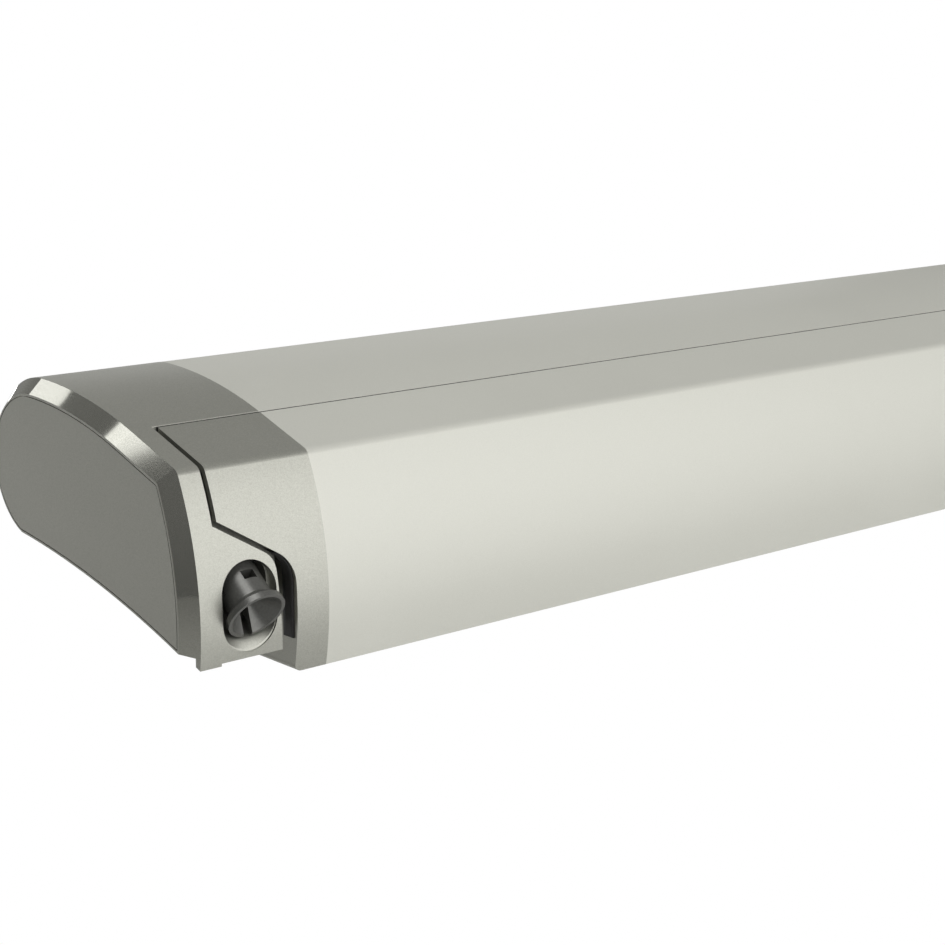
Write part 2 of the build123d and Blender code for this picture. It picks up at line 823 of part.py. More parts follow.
with BuildPart() as fabric_roll:
    with BuildSketch(axis_plane(canopy_offset, roller_depth, roller_height)):
        Circle(roll_radius)
        Circle(roller_radius, mode=Mode.SUBTRACT)
    extrude(amount=-2 * left_x(canopy_offset))
save(fabric_roll, "fabric_roll")

# Free stretch of the canopy between the groove of the rail and the top of the roll
leave = (groove_depth + keder_radius + keder_play, groove_height)
rise_radius = roll_radius + hair_gap + canopy_thickness / 2
to_leave = (leave[0] - roller_depth, leave[1] - roller_height)
touch_angle = atan2(to_leave[1], to_leave[0]) - acos(rise_radius / hypot(*to_leave))
touch = (roller_depth + rise_radius * cos(touch_angle), roller_height + rise_radius * sin(touch_angle))
along = Vector(touch[0] - leave[0], touch[1] - leave[1])
lift = Vector(cos(touch_angle), sin(touch_angle)) * (canopy_thickness / 2)


def canopy_strip(start_share, end_share):
    """Flat strip of canopy between two shares of the way from the rail to the roll."""
    near = Vector(*leave) + along * start_share
    far = Vector(*leave) + along * end_share
    with BuildPart() as strip:
        with BuildSketch(section(-canopy_half)):
            corners = [near - lift, far - lift, far + lift, near + lift]
            Polygon(*[(corner.X, corner.Y) for corner in corners], align=None)
        extrude(amount=2 * canopy_half)
    return strip


tail_share = tail_length / along.length
save(canopy_strip(0, 1 - tail_share), "canopy_sheet")
save(canopy_strip(1 - tail_share, 1), "canopy_tail")


# Folding arms
def arm_section(reach, across):
    """Plane across an arm at a reach from the shoulder, centred across its tube."""
    middle = fold_plane().from_local_coords(Vector(reach, across, 0))
    return Plane(origin=middle, x_dir=(0, cos(pitch), sin(pitch)), z_dir=(1, 0, 0))


def arm_tube(across):
    """Hollow tube of an upper arm or forearm."""
    with BuildPart() as tube:
        with BuildSketch(arm_section(casting_length, across)):
            RectangleRounded(tube_width, tube_height, tube_round)
            RectangleRounded(
                tube_width - 2 * tube_wall, tube_height - 2 * tube_wall, tube_round - tube_wall, mode=Mode.SUBTRACT
            )
        extrude(amount=elbow_reach - 2 * casting_length)
    return tube


def add_spigot(reach, across, length):
    """Plug that fits into a tube from a reach, over a length that may be negative."""
    with BuildSketch(arm_section(reach, across)) as spigot:
        RectangleRounded(tube_width - 2 * tube_wall, tube_height - 2 * tube_wall, tube_round - tube_wall)
    extrude(spigot.sketch, amount=length)


def arm_eye(across):
    """Casting with an eye at the shoulder or wrist end of a tube."""
    collar_width = tube_width + 2 * casting_swell
    collar_height = tube_height + 2 * casting_swell
    with BuildPart() as eye:
        with BuildSketch(fold_plane(-eye_height / 2)):
            with Locations((0, across)):
                Circle(eye_radius)
            box_between((0, across - eye_radius), (eye_neck, across + eye_radius))
        extrude(amount=eye_height)
        with BuildSketch(arm_section(eye_neck, across)):
            Rectangle(2 * eye_radius, eye_height)
        with BuildSketch(arm_section(collar_start, across)):
            Rectangle(tube_width, tube_height)
        loft()
        with BuildSketch(arm_section(collar_start, across)):
            RectangleRounded(collar_width, collar_height, tube_round)
        extrude(amount=casting_length - collar_start)
        add_spigot(casting_length, across, spigot_length)
        with BuildSketch(fold_plane(-tube_height)):
            with Locations((0, across)):
                Circle(arm_pin_radius + pin_clearance)
        extrude(amount=2 * tube_height, mode=Mode.SUBTRACT)
    return eye


def arm_pin(reach, across, half_height):
    """Headed pin square to the fold plane."""
    with BuildPart() as pin:
        with BuildSketch(fold_plane(-half_height)):
            with Locations((reach, across)):
                Circle(arm_pin_radius)
        extrude(amount=2 * half_height)
        for lift_off in (-half_height - pin_head_height, half_height):
            with BuildSketch(fold_plane(lift_off)):
                with Locations((reach, across)):
                    Circle(pin_head_radius)
            extrude(amount=pin_head_height)
    return pin


elbow_across = -arm_spacing / 2
tube_end = elbow_reach - casting_length
half_tube = tube_height / 2

with BuildPart() as elbow_fork:
    with BuildSketch(arm_section(tube_end, 0)):
        RectangleRounded(tube_width + 2 * casting_swell, tube_height, tube_round)
    extrude(amount=casting_length - fork_block)
    add_spigot(tube_end, 0, -spigot_length)
    for lift_off in (-half_tube, elbow_gap / 2):
        with BuildSketch(fold_plane(lift_off)):
            with Locations((elbow_reach, elbow_across)):
                Circle(elbow_radius)
            box_between(
                (elbow_reach - fork_ear_root, -tube_width / 2), (elbow_reach - fork_block, tube_width / 2)
            )
            make_hull()
        extrude(amount=half_tube - elbow_gap / 2)
    with BuildSketch(fold_plane(-half_tube)):
        with Locations((elbow_reach, elbow_across)):
            Circle(arm_pin_radius)
    extrude(amount=tube_height, mode=Mode.SUBTRACT)

with BuildPart() as elbow_tongue:
    with BuildSketch(arm_section(tube_end, -arm_spacing)):
        RectangleRounded(tube_width, tube_height, tube_round)
    extrude(amount=casting_length - tongue_root)
    add_spigot(tube_end, -arm_spacing, -spigot_length)
    with BuildSketch(fold_plane(tongue_play - elbow_gap / 2)):
        with Locations((elbow_reach, elbow_across)):
            Circle(elbow_radius)
        box_between(
            (elbow_reach - fork_ear_root, -arm_spacing - tube_width / 2),
            (elbow_reach - tongue_root, -arm_spacing + tube_width / 2 - tongue_step),
        )
        make_hull()
    extrude(amount=elbow_gap - 2 * tongue_play)
    with BuildSketch(fold_plane(-half_tube)):
        with Locations((elbow_reach, elbow_across)):
            Circle(arm_pin_radius + pin_clearance)
    extrude(amount=tube_height, mode=Mode.SUBTRACT)

# Tension spring inside the upper arm, hooked between the two castings
with BuildPart() as arm_spring:
    spring_start = casting_length + spigot_length
    spring_end = tube_end - spigot_length
    spring_middle = (spring_start + spring_end) / 2
    spring_length = spring_share * (spring_end - spring_start)
    with BuildSketch(arm_section(spring_start, 0)):
        Circle(spring_hook_radius)
    extrude(amount=spring_end - spring_start)
    with BuildSketch(arm_section(spring_middle - spring_length / 2, 0)):
        Circle(spring_radius)
    extrude(amount=spring_length)

ear_low = eye_height / 2 + tongue_play
ear_top = ear_low + ear_thickness
bracket_end = bracket_side + bracket_thickness


def cut_pin_hole(across):
    """Hole for a pin through the ears of a bracket."""
    with BuildSketch(fold_plane(-tube_height)) as hole:
        with Locations((0, across)):
            Circle(arm_pin_radius)
    extrude(hole.sketch, amount=2 * tube_height, mode=Mode.SUBTRACT)


with BuildPart() as shoulder_bracket:
    for lift_off in (-ear_top, ear_low):
        with BuildSketch(fold_plane(lift_off)):
            Circle(eye_radius)
            box_between((-bracket_end, -eye_radius), (-bracket_side, bracket_back))
            make_hull()
        extrude(amount=ear_thickness)
    with BuildSketch(fold_plane(-ear_top)):
        box_between((-bracket_end, -eye_radius), (-bracket_side, bracket_back))
    extrude(amount=2 * ear_top)
    with BuildSketch(section(left_x(shoulder_offset - bracket_end))):
        draw_cassette(case_wall, case_wall)
        box_between((bracket_foot_front, 0), (bracket_foot_back, bracket_foot_top), mode=Mode.INTERSECT)
    extrude(amount=bracket_end - pin_head_radius - 2 * hair_gap)
    cut_pin_hole(0)

with BuildPart() as wrist_bracket:
    web_front = -arm_spacing - wrist_web_front
    web_back = -arm_spacing - wrist_web_back
    for lift_off in (-ear_top, ear_low):
        with BuildSketch(fold_plane(lift_off)):
            with Locations((0, -arm_spacing)):
                Circle(eye_radius)
            box_between((-bracket_end, web_front), (eye_radius, web_back))
            make_hull()
        extrude(amount=ear_thickness)
    with BuildSketch(fold_plane(-ear_top)):
        box_between((-bracket_end, web_front), (eye_radius, web_back))
    extrude(amount=2 * ear_top)
    with BuildSketch(section(left_x(shoulder_offset - bracket_end))):
        draw_cassette(rail_wall, rail_wall)
        box_between((0, wrist_block_low), (wrist_block_back, wrist_block_high), mode=Mode.INTERSECT)
    extrude(amount=bracket_end + eye_radius)
    cut_pin_hole(-arm_spacing)

save_both(shoulder_bracket, "shoulder_bracket")
save_pair(arm_pin(0, 0, ear_top), "shoulder_pins")
save_both(arm_eye(0), "shoulder_eye")
save_both(arm_tube(0), "upper_arm")
save_both(arm_spring, "arm_spring")
save_both(elbow_fork, "elbow_fork")
save_both(arm_pin(elbow_reach, elbow_across, half_tube), "elbow_pin")
save_both(elbow_tongue, "elbow_tongue")
save_both(arm_tube(-arm_spacing), "forearm")
save_both(arm_eye(-arm_spacing), "wrist_eye")
save_both(wrist_bracket, "wrist_bracket")
save_pair(arm_pin(0, -arm_spacing, ear_top), "wrist_pins")


# Support legs, side by side in the foot of the rail: the left one in front, the right one behind
leg_start = left_x(leg_pivot_offset)
lane_width = channel_width / 2
inner_width = leg_width - 2 * (leg_wall + leg_slip)
inner_depth = leg_depth - 2 * (leg_wall + leg_slip)
inner_start = hanger_length / 2 + leg_end / 2
foot_reach = leg_length + leg_end + clevis_length
lock_reach = leg_length - lock_setback
lock_height = -leg_depth / 2 - lock_drop
half_leg = leg_width / 2


def leg_view(depth):
    """Plane facing forward at a depth, centred on the leg's pivot."""
    return Plane(origin=at(leg_start, depth, leg_height), x_dir=(1, 0, 0), z_dir=(0, -1, 0))


def leg_tube(lane, start, end, width, depth):
    """Hollow tube of a leg in the lane at a depth, between two reaches from its pivot."""
    with BuildSketch(Plane(origin=at(leg_start + start, lane, leg_height), x_dir=(0, 1, 0), z_dir=(1, 0, 0))) as ring:
        Rectangle(width, depth)
        Rectangle(width - 2 * leg_wall, depth - 2 * leg_wall, mode=Mode.SUBTRACT)
    extrude(ring.sketch, amount=end - start)


def leg_pieces(lane):
    """Pieces of a left leg whose middle lies at a depth."""
    front = lane - lane_width / 2
    with BuildPart() as hanger:
        with BuildSketch(leg_view(front)):
            roof = channel_roof - leg_height
            box_between((-hanger_length / 2, -leg_depth / 2), (hanger_length / 2, roof))
        extrude(amount=-lane_width)
        with BuildSketch(leg_view(front + hanger_wall)):
            box_between((-hanger_length, -leg_depth), (hanger_length, roof - hanger_wall))
        extrude(amount=2 * hanger_wall - lane_width, mode=Mode.SUBTRACT)
        with BuildSketch(leg_view(front)):
            Circle(leg_pin_radius)
        extrude(amount=-lane_width, mode=Mode.SUBTRACT)

    with BuildPart() as pin:
        with BuildSketch(leg_view(front)):
            Circle(leg_pin_radius)
        extrude(amount=-lane_width)

    with BuildPart() as outer:
        with BuildSketch(leg_view(lane - half_leg)):
            Circle(leg_depth / 2)
            box_between((0, -leg_depth / 2), (hanger_length / 2, leg_depth / 2))
        extrude(amount=-leg_width)
        leg_tube(lane, hanger_length / 2, leg_length, leg_width, leg_depth)
        # ears for the lock lever
        for side in (-1, 1):
            ear_middle = side * (lock_width / 2 + hair_gap + lock_ear / 2)
            with BuildSketch(leg_view(lane + ear_middle - lock_ear / 2)):
                box_between(
                    (lock_reach - lock_barrel_radius, lock_height - lock_barrel_radius),
                    (lock_reach + lock_barrel_radius, -leg_depth / 2),
                )
            extrude(amount=-lock_ear)
        with BuildSketch(leg_view(lane - half_leg)):
            Circle(leg_pin_radius + pin_clearance)
            with Locations((lock_reach, lock_height)):
                Circle(lock_pin_radius + pin_clearance)
        extrude(amount=-leg_width, mode=Mode.SUBTRACT)

    with BuildPart() as lock:
        with BuildSketch(leg_view(lane - lock_width / 2)):
            with Locations((lock_reach, lock_height)):
                Circle(lock_barrel_radius)
            box_between(
                (lock_reach - lock_length, lock_height - lock_thickness / 2),
                (lock_reach, lock_height + lock_thickness / 2),
            )
        extrude(amount=-lock_width)
        pin_half = lock_width / 2 + hair_gap + lock_ear
        with BuildSketch(leg_view(lane - pin_half)):
            with Locations((lock_reach, lock_height)):
                Circle(lock_pin_radius)
        extrude(amount=-2 * pin_half)

    with BuildPart() as inner:
        leg_tube(lane, inner_start, leg_length + leg_end, inner_width, inner_depth)
        # solid end with two cheeks for the foot
        with BuildSketch(leg_view(lane - inner_width / 2)):
            box_between((leg_length, -inner_depth / 2), (leg_length + leg_end, inner_depth / 2))
            box_between((leg_length + leg_end, -foot_eye_radius), (foot_reach, foot_eye_radius))
            with Locations((foot_reach, 0)):
                Circle(foot_eye_radius)
        extrude(amount=-inner_width)
        cheek_gap = foot_eye_width + 2 * hair_gap
        with BuildSketch(leg_view(lane - cheek_gap / 2)):
            box_between(
                (foot_reach - foot_eye_radius - hair_gap, -inner_depth), (foot_reach + inner_depth, inner_depth)
            )
        extrude(amount=-cheek_gap, mode=Mode.SUBTRACT)
        with BuildSketch(leg_view(lane - half_leg)):
            with Locations((foot_reach, 0)):
                Circle(foot_pin_radius + pin_clearance)
        extrude(amount=-leg_width, mode=Mode.SUBTRACT)

    with BuildPart() as foot:
        with BuildSketch(leg_view(lane - foot_eye_width / 2)):
            with Locations((foot_reach, 0)):
                Circle(foot_eye_radius)
            box_between((foot_reach - sole_heel, 0), (foot_reach + foot_eye_radius, sole_drop + sole_thickness / 2))
        extrude(amount=-foot_eye_width)
        with BuildSketch(leg_view(lane - inner_width / 2)):
            with Locations((foot_reach, 0)):
                Circle(foot_pin_radius)
        extrude(amount=-inner_width)
        with BuildSketch(leg_view(lane - half_leg)):
            box_between((foot_reach - sole_heel, sole_drop), (foot_reach + sole_length, sole_drop + sole_thickness))
        extrude(amount=-leg_width)

    return {"hanger": hanger, "pin": pin, "outer": outer, "lock": lock, "inner": inner, "foot": foot}


front_leg = leg_pieces(channel_depth + lane_width / 2)
back_leg = leg_pieces(channel_depth + channel_width - lane_width / 2)
for part_name in ("hanger", "outer", "lock", "inner", "foot"):
    save(front_leg[part_name], f"leg_{part_name}_left")
    save_right(back_leg[part_name], f"leg_{part_name}_right")
with BuildPart() as leg_pins:
    add(front_leg["pin"].part)
    mirror(back_leg["pin"].part, about=Plane.YZ)
save(leg_pins, "leg_pins")


# Roof brackets: a flat base with two bolt holes, under a saddle that follows the arch of the case
def roof_bracket(x):
    """Roof bracket centred at x."""
    middle = (roof_bracket_front + roof_bracket_back) / 2
    base_top = origin_height + roof_base_thickness
    with BuildPart() as bracket:
        with BuildSketch(section(x - roof_bracket_width / 2)):
            box_between((roof_bracket_front, origin_height), (roof_bracket_back, arch_back_height))
            draw_cassette(mode=Mode.SUBTRACT)
        extrude(amount=roof_bracket_width)
        # two openings between the base and the saddle
        with BuildSketch(section(x - roof_bracket_width / 2)):
            box_between((roof_bracket_front + roof_rib, base_top), (middle - roof_rib / 2, arch_back_height))
            box_between((middle + roof_rib / 2, base_top), (roof_bracket_back - roof_rib, arch_back_height))
            draw_cassette(-roof_saddle, -roof_saddle, mode=Mode.SUBTRACT)
        extrude(amount=roof_bracket_width, mode=Mode.SUBTRACT)
        # base with its bolt holes
        with BuildSketch(Plane.XY):
            box_between(
                (x - roof_base_length / 2, roof_base_front - origin_depth),
                (x + roof_base_length / 2, roof_base_back - origin_depth),
            )
        extrude(amount=roof_base_thickness)
        with BuildSketch(Plane.XY):
            with Locations((x - roof_hole_spacing / 2, 0), (x + roof_hole_spacing / 2, 0)):
                Circle(roof_hole_radius)
        extrude(amount=roof_base_thickness, mode=Mode.SUBTRACT)
    return bracket


save(roof_bracket(0), "roof_bracket")
with BuildPart() as outer_brackets:
    for side in (-1, 1):
        add(roof_bracket(side * bracket_place_share * total_length).part)
save(outer_brackets, "roof_brackets_outer")
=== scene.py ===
"""Roll out awning: finishes, canopy, springs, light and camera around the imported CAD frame."""

import json
import logging
import math
from dataclasses import dataclass, field
from enum import Enum
from typing import Any

import bpy
import numpy as np
from mathutils import Matrix


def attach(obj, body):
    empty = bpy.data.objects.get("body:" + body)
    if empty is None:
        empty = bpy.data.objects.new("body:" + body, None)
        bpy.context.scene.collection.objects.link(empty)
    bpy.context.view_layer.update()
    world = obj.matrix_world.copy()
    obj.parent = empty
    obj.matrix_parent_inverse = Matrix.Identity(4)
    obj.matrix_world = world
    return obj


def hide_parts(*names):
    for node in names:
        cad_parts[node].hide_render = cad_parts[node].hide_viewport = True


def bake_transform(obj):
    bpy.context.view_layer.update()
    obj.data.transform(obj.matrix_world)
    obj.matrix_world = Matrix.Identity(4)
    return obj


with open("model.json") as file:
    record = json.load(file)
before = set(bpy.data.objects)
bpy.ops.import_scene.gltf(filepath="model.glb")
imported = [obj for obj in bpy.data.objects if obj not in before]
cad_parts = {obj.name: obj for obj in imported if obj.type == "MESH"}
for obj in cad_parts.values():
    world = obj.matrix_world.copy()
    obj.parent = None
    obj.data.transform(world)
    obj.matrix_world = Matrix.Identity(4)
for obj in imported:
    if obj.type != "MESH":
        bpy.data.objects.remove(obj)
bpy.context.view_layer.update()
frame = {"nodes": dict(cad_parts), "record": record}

LOG = logging.getLogger("awning")

Triple = tuple[float, float, float]  # a point or direction in metres, or a linear colour
Socket = bpy.types.NodeSocket

WHITE = (1.0, 1.0, 1.0, 1.0)
UPWARD = (0.0, 0.0, 1.0)
TIP_SHARE = 0.05  # width of a round bar's end rings, as a share of the bar's


class Side(Enum):
    """End of the awning that a piece belongs to, as the sign of its X."""

    LEFT = -1
    RIGHT = 1


class Surface(Enum):
    """Kind of fine surface that a finish has."""

    FLAKE_PAINT = "flake paint"
    POWDER_COAT = "powder coat"
    DRAWN_METAL = "drawn metal"
    CAST_METAL = "cast metal"
    TURNED_METAL = "turned metal"
    MOULDED = "moulded"
    WOVEN = "woven"


@dataclass(frozen=True)
class Finish:
    """Colour and surface of one material.

    Args:
        slot: name of the record's material slot.
        surface: kind of fine surface.
        dark: darker tone, linear RGB.
        light: lighter tone, linear RGB.
        roughness: lowest and highest roughness.
        grain: size of the fine grain in metres.
        relief: height of the grain in metres.
        metallic: share of metal in the shader.
        coat: weight of a clear coat.
        sheen: weight of a cloth sheen.
    """

    slot: str
    surface: Surface
    dark: Triple
    light: Triple
    roughness: tuple[float, float]
    grain: float
    relief: float
    metallic: float = 0.0
    coat: float = 0.0
    sheen: float = 0.0


FINISHES: tuple[Finish, ...] = (
    Finish(
        slot="case_coating", surface=Surface.POWDER_COAT,
        dark=(0.57, 0.57, 0.515), light=(0.63, 0.63, 0.575), roughness=(0.40, 0.50),
        metallic=0.25, grain=0.0005, relief=0.000010, coat=0.08,
    ),
    Finish(
        slot="cap_coating", surface=Surface.FLAKE_PAINT,
        dark=(0.35, 0.35, 0.312), light=(0.43, 0.43, 0.388), roughness=(0.36, 0.44),
        metallic=0.8, grain=0.00035, relief=0.000006, coat=0.1,
    ),
    Finish(
        slot="rubber_black", surface=Surface.MOULDED,
        dark=(0.012, 0.012, 0.012), light=(0.03, 0.03, 0.03), roughness=(0.65, 0.8),
        grain=0.0012, relief=0.00002,
    ),
    Finish(
        slot="dark_plastic", surface=Surface.MOULDED,
        dark=(0.10, 0.10, 0.093), light=(0.15, 0.15, 0.14), roughness=(0.30, 0.40),
        metallic=0.5, grain=0.0012, relief=0.000008, coat=0.2,
    ),
    Finish(
        slot="black_plastic", surface=Surface.MOULDED,
        dark=(0.018, 0.018, 0.018), light=(0.035, 0.035, 0.035), roughness=(0.42, 0.55),
        grain=0.0009, relief=0.00003,
    ),
    Finish(
        slot="gear_steel", surface=Surface.TURNED_METAL,
        dark=(0.30, 0.30, 0.30), light=(0.46, 0.46, 0.47), roughness=(0.25, 0.42),
        metallic=1.0, grain=0.0008, relief=0.00001,
    ),
    Finish(
        slot="gear_brass", surface=Surface.TURNED_METAL,
        dark=(0.52, 0.38, 0.15), light=(0.68, 0.52, 0.25), roughness=(0.24, 0.38),
        metallic=1.0, grain=0.0008, relief=0.00001,
    ),
    Finish(
        slot="zinc_plate", surface=Surface.CAST_METAL,
        dark=(0.50, 0.51, 0.53), light=(0.66, 0.68, 0.70), roughness=(0.34, 0.50),
        metallic=0.9, grain=0.004, relief=0.00001,
    ),
    Finish(
        slot="mill_aluminium", surface=Surface.DRAWN_METAL,
        dark=(0.60, 0.61, 0.62), light=(0.76, 0.77, 0.78), roughness=(0.28, 0.42),
        metallic=0.95, grain=0.0004, relief=0.000008,
    ),
    Finish(
        slot="arm_coating", surface=Surface.POWDER_COAT,
        dark=(0.56, 0.56, 0.52), light=(0.64, 0.64, 0.60), roughness=(0.38, 0.48),
        metallic=0.25, grain=0.0006, relief=0.000015, coat=0.1,
    ),
    Finish(
        slot="cast_aluminium", surface=Surface.CAST_METAL,
        dark=(0.42, 0.42, 0.41), light=(0.56, 0.56, 0.55), roughness=(0.42, 0.58),
        metallic=0.85, grain=0.0014, relief=0.00005,
    ),
    Finish(
        slot="spring_steel", surface=Surface.DRAWN_METAL,
        dark=(0.12, 0.12, 0.125), light=(0.22, 0.22, 0.23), roughness=(0.28, 0.42),
        metallic=1.0, grain=0.0003, relief=0.000008, coat=0.1,
    ),
    Finish(
        slot="canopy_cloth", surface=Surface.WOVEN,
        dark=(0.20, 0.235, 0.27), light=(0.30, 0.345, 0.39), roughness=(0.62, 0.78),
        grain=0.0012, relief=0.00008, sheen=0.25,
    ),
    Finish(
        slot="edge_cord", surface=Surface.MOULDED,
        dark=(0.62, 0.62, 0.60), light=(0.74, 0.74, 0.72), roughness=(0.45, 0.6),
        grain=0.001, relief=0.00002,
    ),
)


@dataclass(frozen=True)
class AreaLight:
    """A soft rectangular light.

    Args:
        name: name of the light.
        place: where it stands.
        target: point it faces.
        size: width and height.
        power: power in watts.
    """

    name: str
    place: Triple
    target: Triple
    size: tuple[float, float]
    power: float


LIGHTS: tuple[AreaLight, ...] = (
    AreaLight("key", (1.0, -6.9, 1.45), (-0.6, 0.0, 0.06), (11.4, 7.6), 495.0),
    AreaLight("top", (-1.9, -0.2, 3.2), (-0.9, 0.0, 0.06), (2.4, 1.8), 47.0),
    AreaLight("side", (-3.5, 2.4, -0.35), (-1.3, 0.0, 0.05), (2.0, 2.0), 4.5),
    AreaLight("far_side", (4.2, -0.8, 0.8), (1.1, 0.0, 0.06), (1.8, 1.6), 3.7),
    AreaLight("back", (-0.8, 3.8, -0.6), (0.2, 0.0, 0.06), (2.4, 1.2), 36.0),
    AreaLight("back_right", (2.6, 4.4, 1.3), (-1.0, 0.0, 0.1), (3.0, 1.4), 8.5),
    AreaLight("crown_strip", (-1.987, 2.465, 1.706), (-1.3, 0.0, 0.1), (0.42, 0.42), 1.1),
    AreaLight("slope_strip", (-2.612, 1.612, 2.224), (-1.3, 0.0, 0.1), (0.2, 0.3), 0.44),
)


@dataclass
class NodeWriter:
    """Adds and links nodes in one node tree.

    Args:
        tree: node tree that is written.
    """

    tree: bpy.types.NodeTree

    def add(
        self, kind: str, values: dict[str, Any] | None = None, **settings: Any
    ) -> bpy.types.Node:
        """Add a node.

        Args:
            kind: Blender's name of the node type.
            values: socket values by name.
            **settings: properties of the node.

        Returns:
            The new node.
        """
        node = self.tree.nodes.new(kind)
        for name, value in settings.items():
            setattr(node, name, value)
        for name, value in (values or {}).items():
            node.inputs[name].default_value = value
        return node

    def link(self, source: Socket, target: Socket) -> None:
        """Link an output socket to an input socket."""
        self.tree.links.new(source, target)

    def math(self, operation: str, first: Socket | float, second: Socket | float = 0.0) -> Socket:
        """Add a math node with two inputs, each a socket or a number.

        Args:
            operation: Blender's name of the operation.
            first: first input.
            second: second input, which an operation on one value leaves out.

        Returns:
            The result's socket.
        """
        node = self.add("ShaderNodeMath", operation=operation)
        for socket, value in zip(node.inputs, (first, second)):
            if isinstance(value, (int, float)):
                socket.default_value = value
            else:
                self.link(value, socket)
        return node.outputs[0]

    def weigh(self, first: Socket, second: Socket, share: float) -> Socket:
        """Mix two values: the second times the share, plus the first times what is left of one."""
        kept = self.math("MULTIPLY", first, 1.0 - share)
        return self.math("ADD", kept, self.math("MULTIPLY", second, share))

    def from_signed(self, value: Socket) -> Socket:
        """Bring a value between -1 and 1 to between 0 and 1: half of it, plus a half."""
        return self.math("ADD", self.math("MULTIPLY", value, 0.5), 0.5)

    def ramp(
        self, value: Socket, stops: tuple[float, float], low: Triple, high: Triple
    ) -> Socket:
        """Turn a value into a colour between two stops.

        Args:
            value: value that is turned into a colour.
            stops: values of the first and the last colour.
            low: colour up to the first stop.
            high: colour from the last stop on.

        Returns:
            The colour's socket.
        """
        node = self.add("ShaderNodeValToRGB")
        for element, stop, colour in zip(node.color_ramp.elements, stops, (low, high)):
            element.position = stop
            element.color = (*colour, 1.0)
        self.link(value, node.inputs["Fac"])
        return node.outputs["Color"]

    def parts(self, vector: Socket) -> tuple[Socket, ...]:
        """Split a vector.

        Args:
            vector: vector that is split.

        Returns:
            The sockets of its X, Y and Z.
        """
        split = self.add("ShaderNodeSeparateXYZ")
        self.link(vector, split.inputs[0])
        return tuple(split.outputs)

    def white_to_camera(self, kind: str, other: Socket, surface: Socket) -> None:
        """Show plain white to the camera, and a shader to every other ray.

        Args:
            kind: Blender's name of the node that gives the white.
            other: shader for the other rays.
            surface: output node's socket.
        """
        seen = self.add("ShaderNodeLightPath")
        white = self.add(kind, {"Color": WHITE, "Strength": 1.0})
        mix = self.add("ShaderNodeMixShader")
        sources = (seen.outputs["Is Camera Ray"], other, white.outputs[0])
        for source, socket in zip(sources, mix.inputs):
            self.link(source, socket)
        self.link(mix.outputs[0], surface)


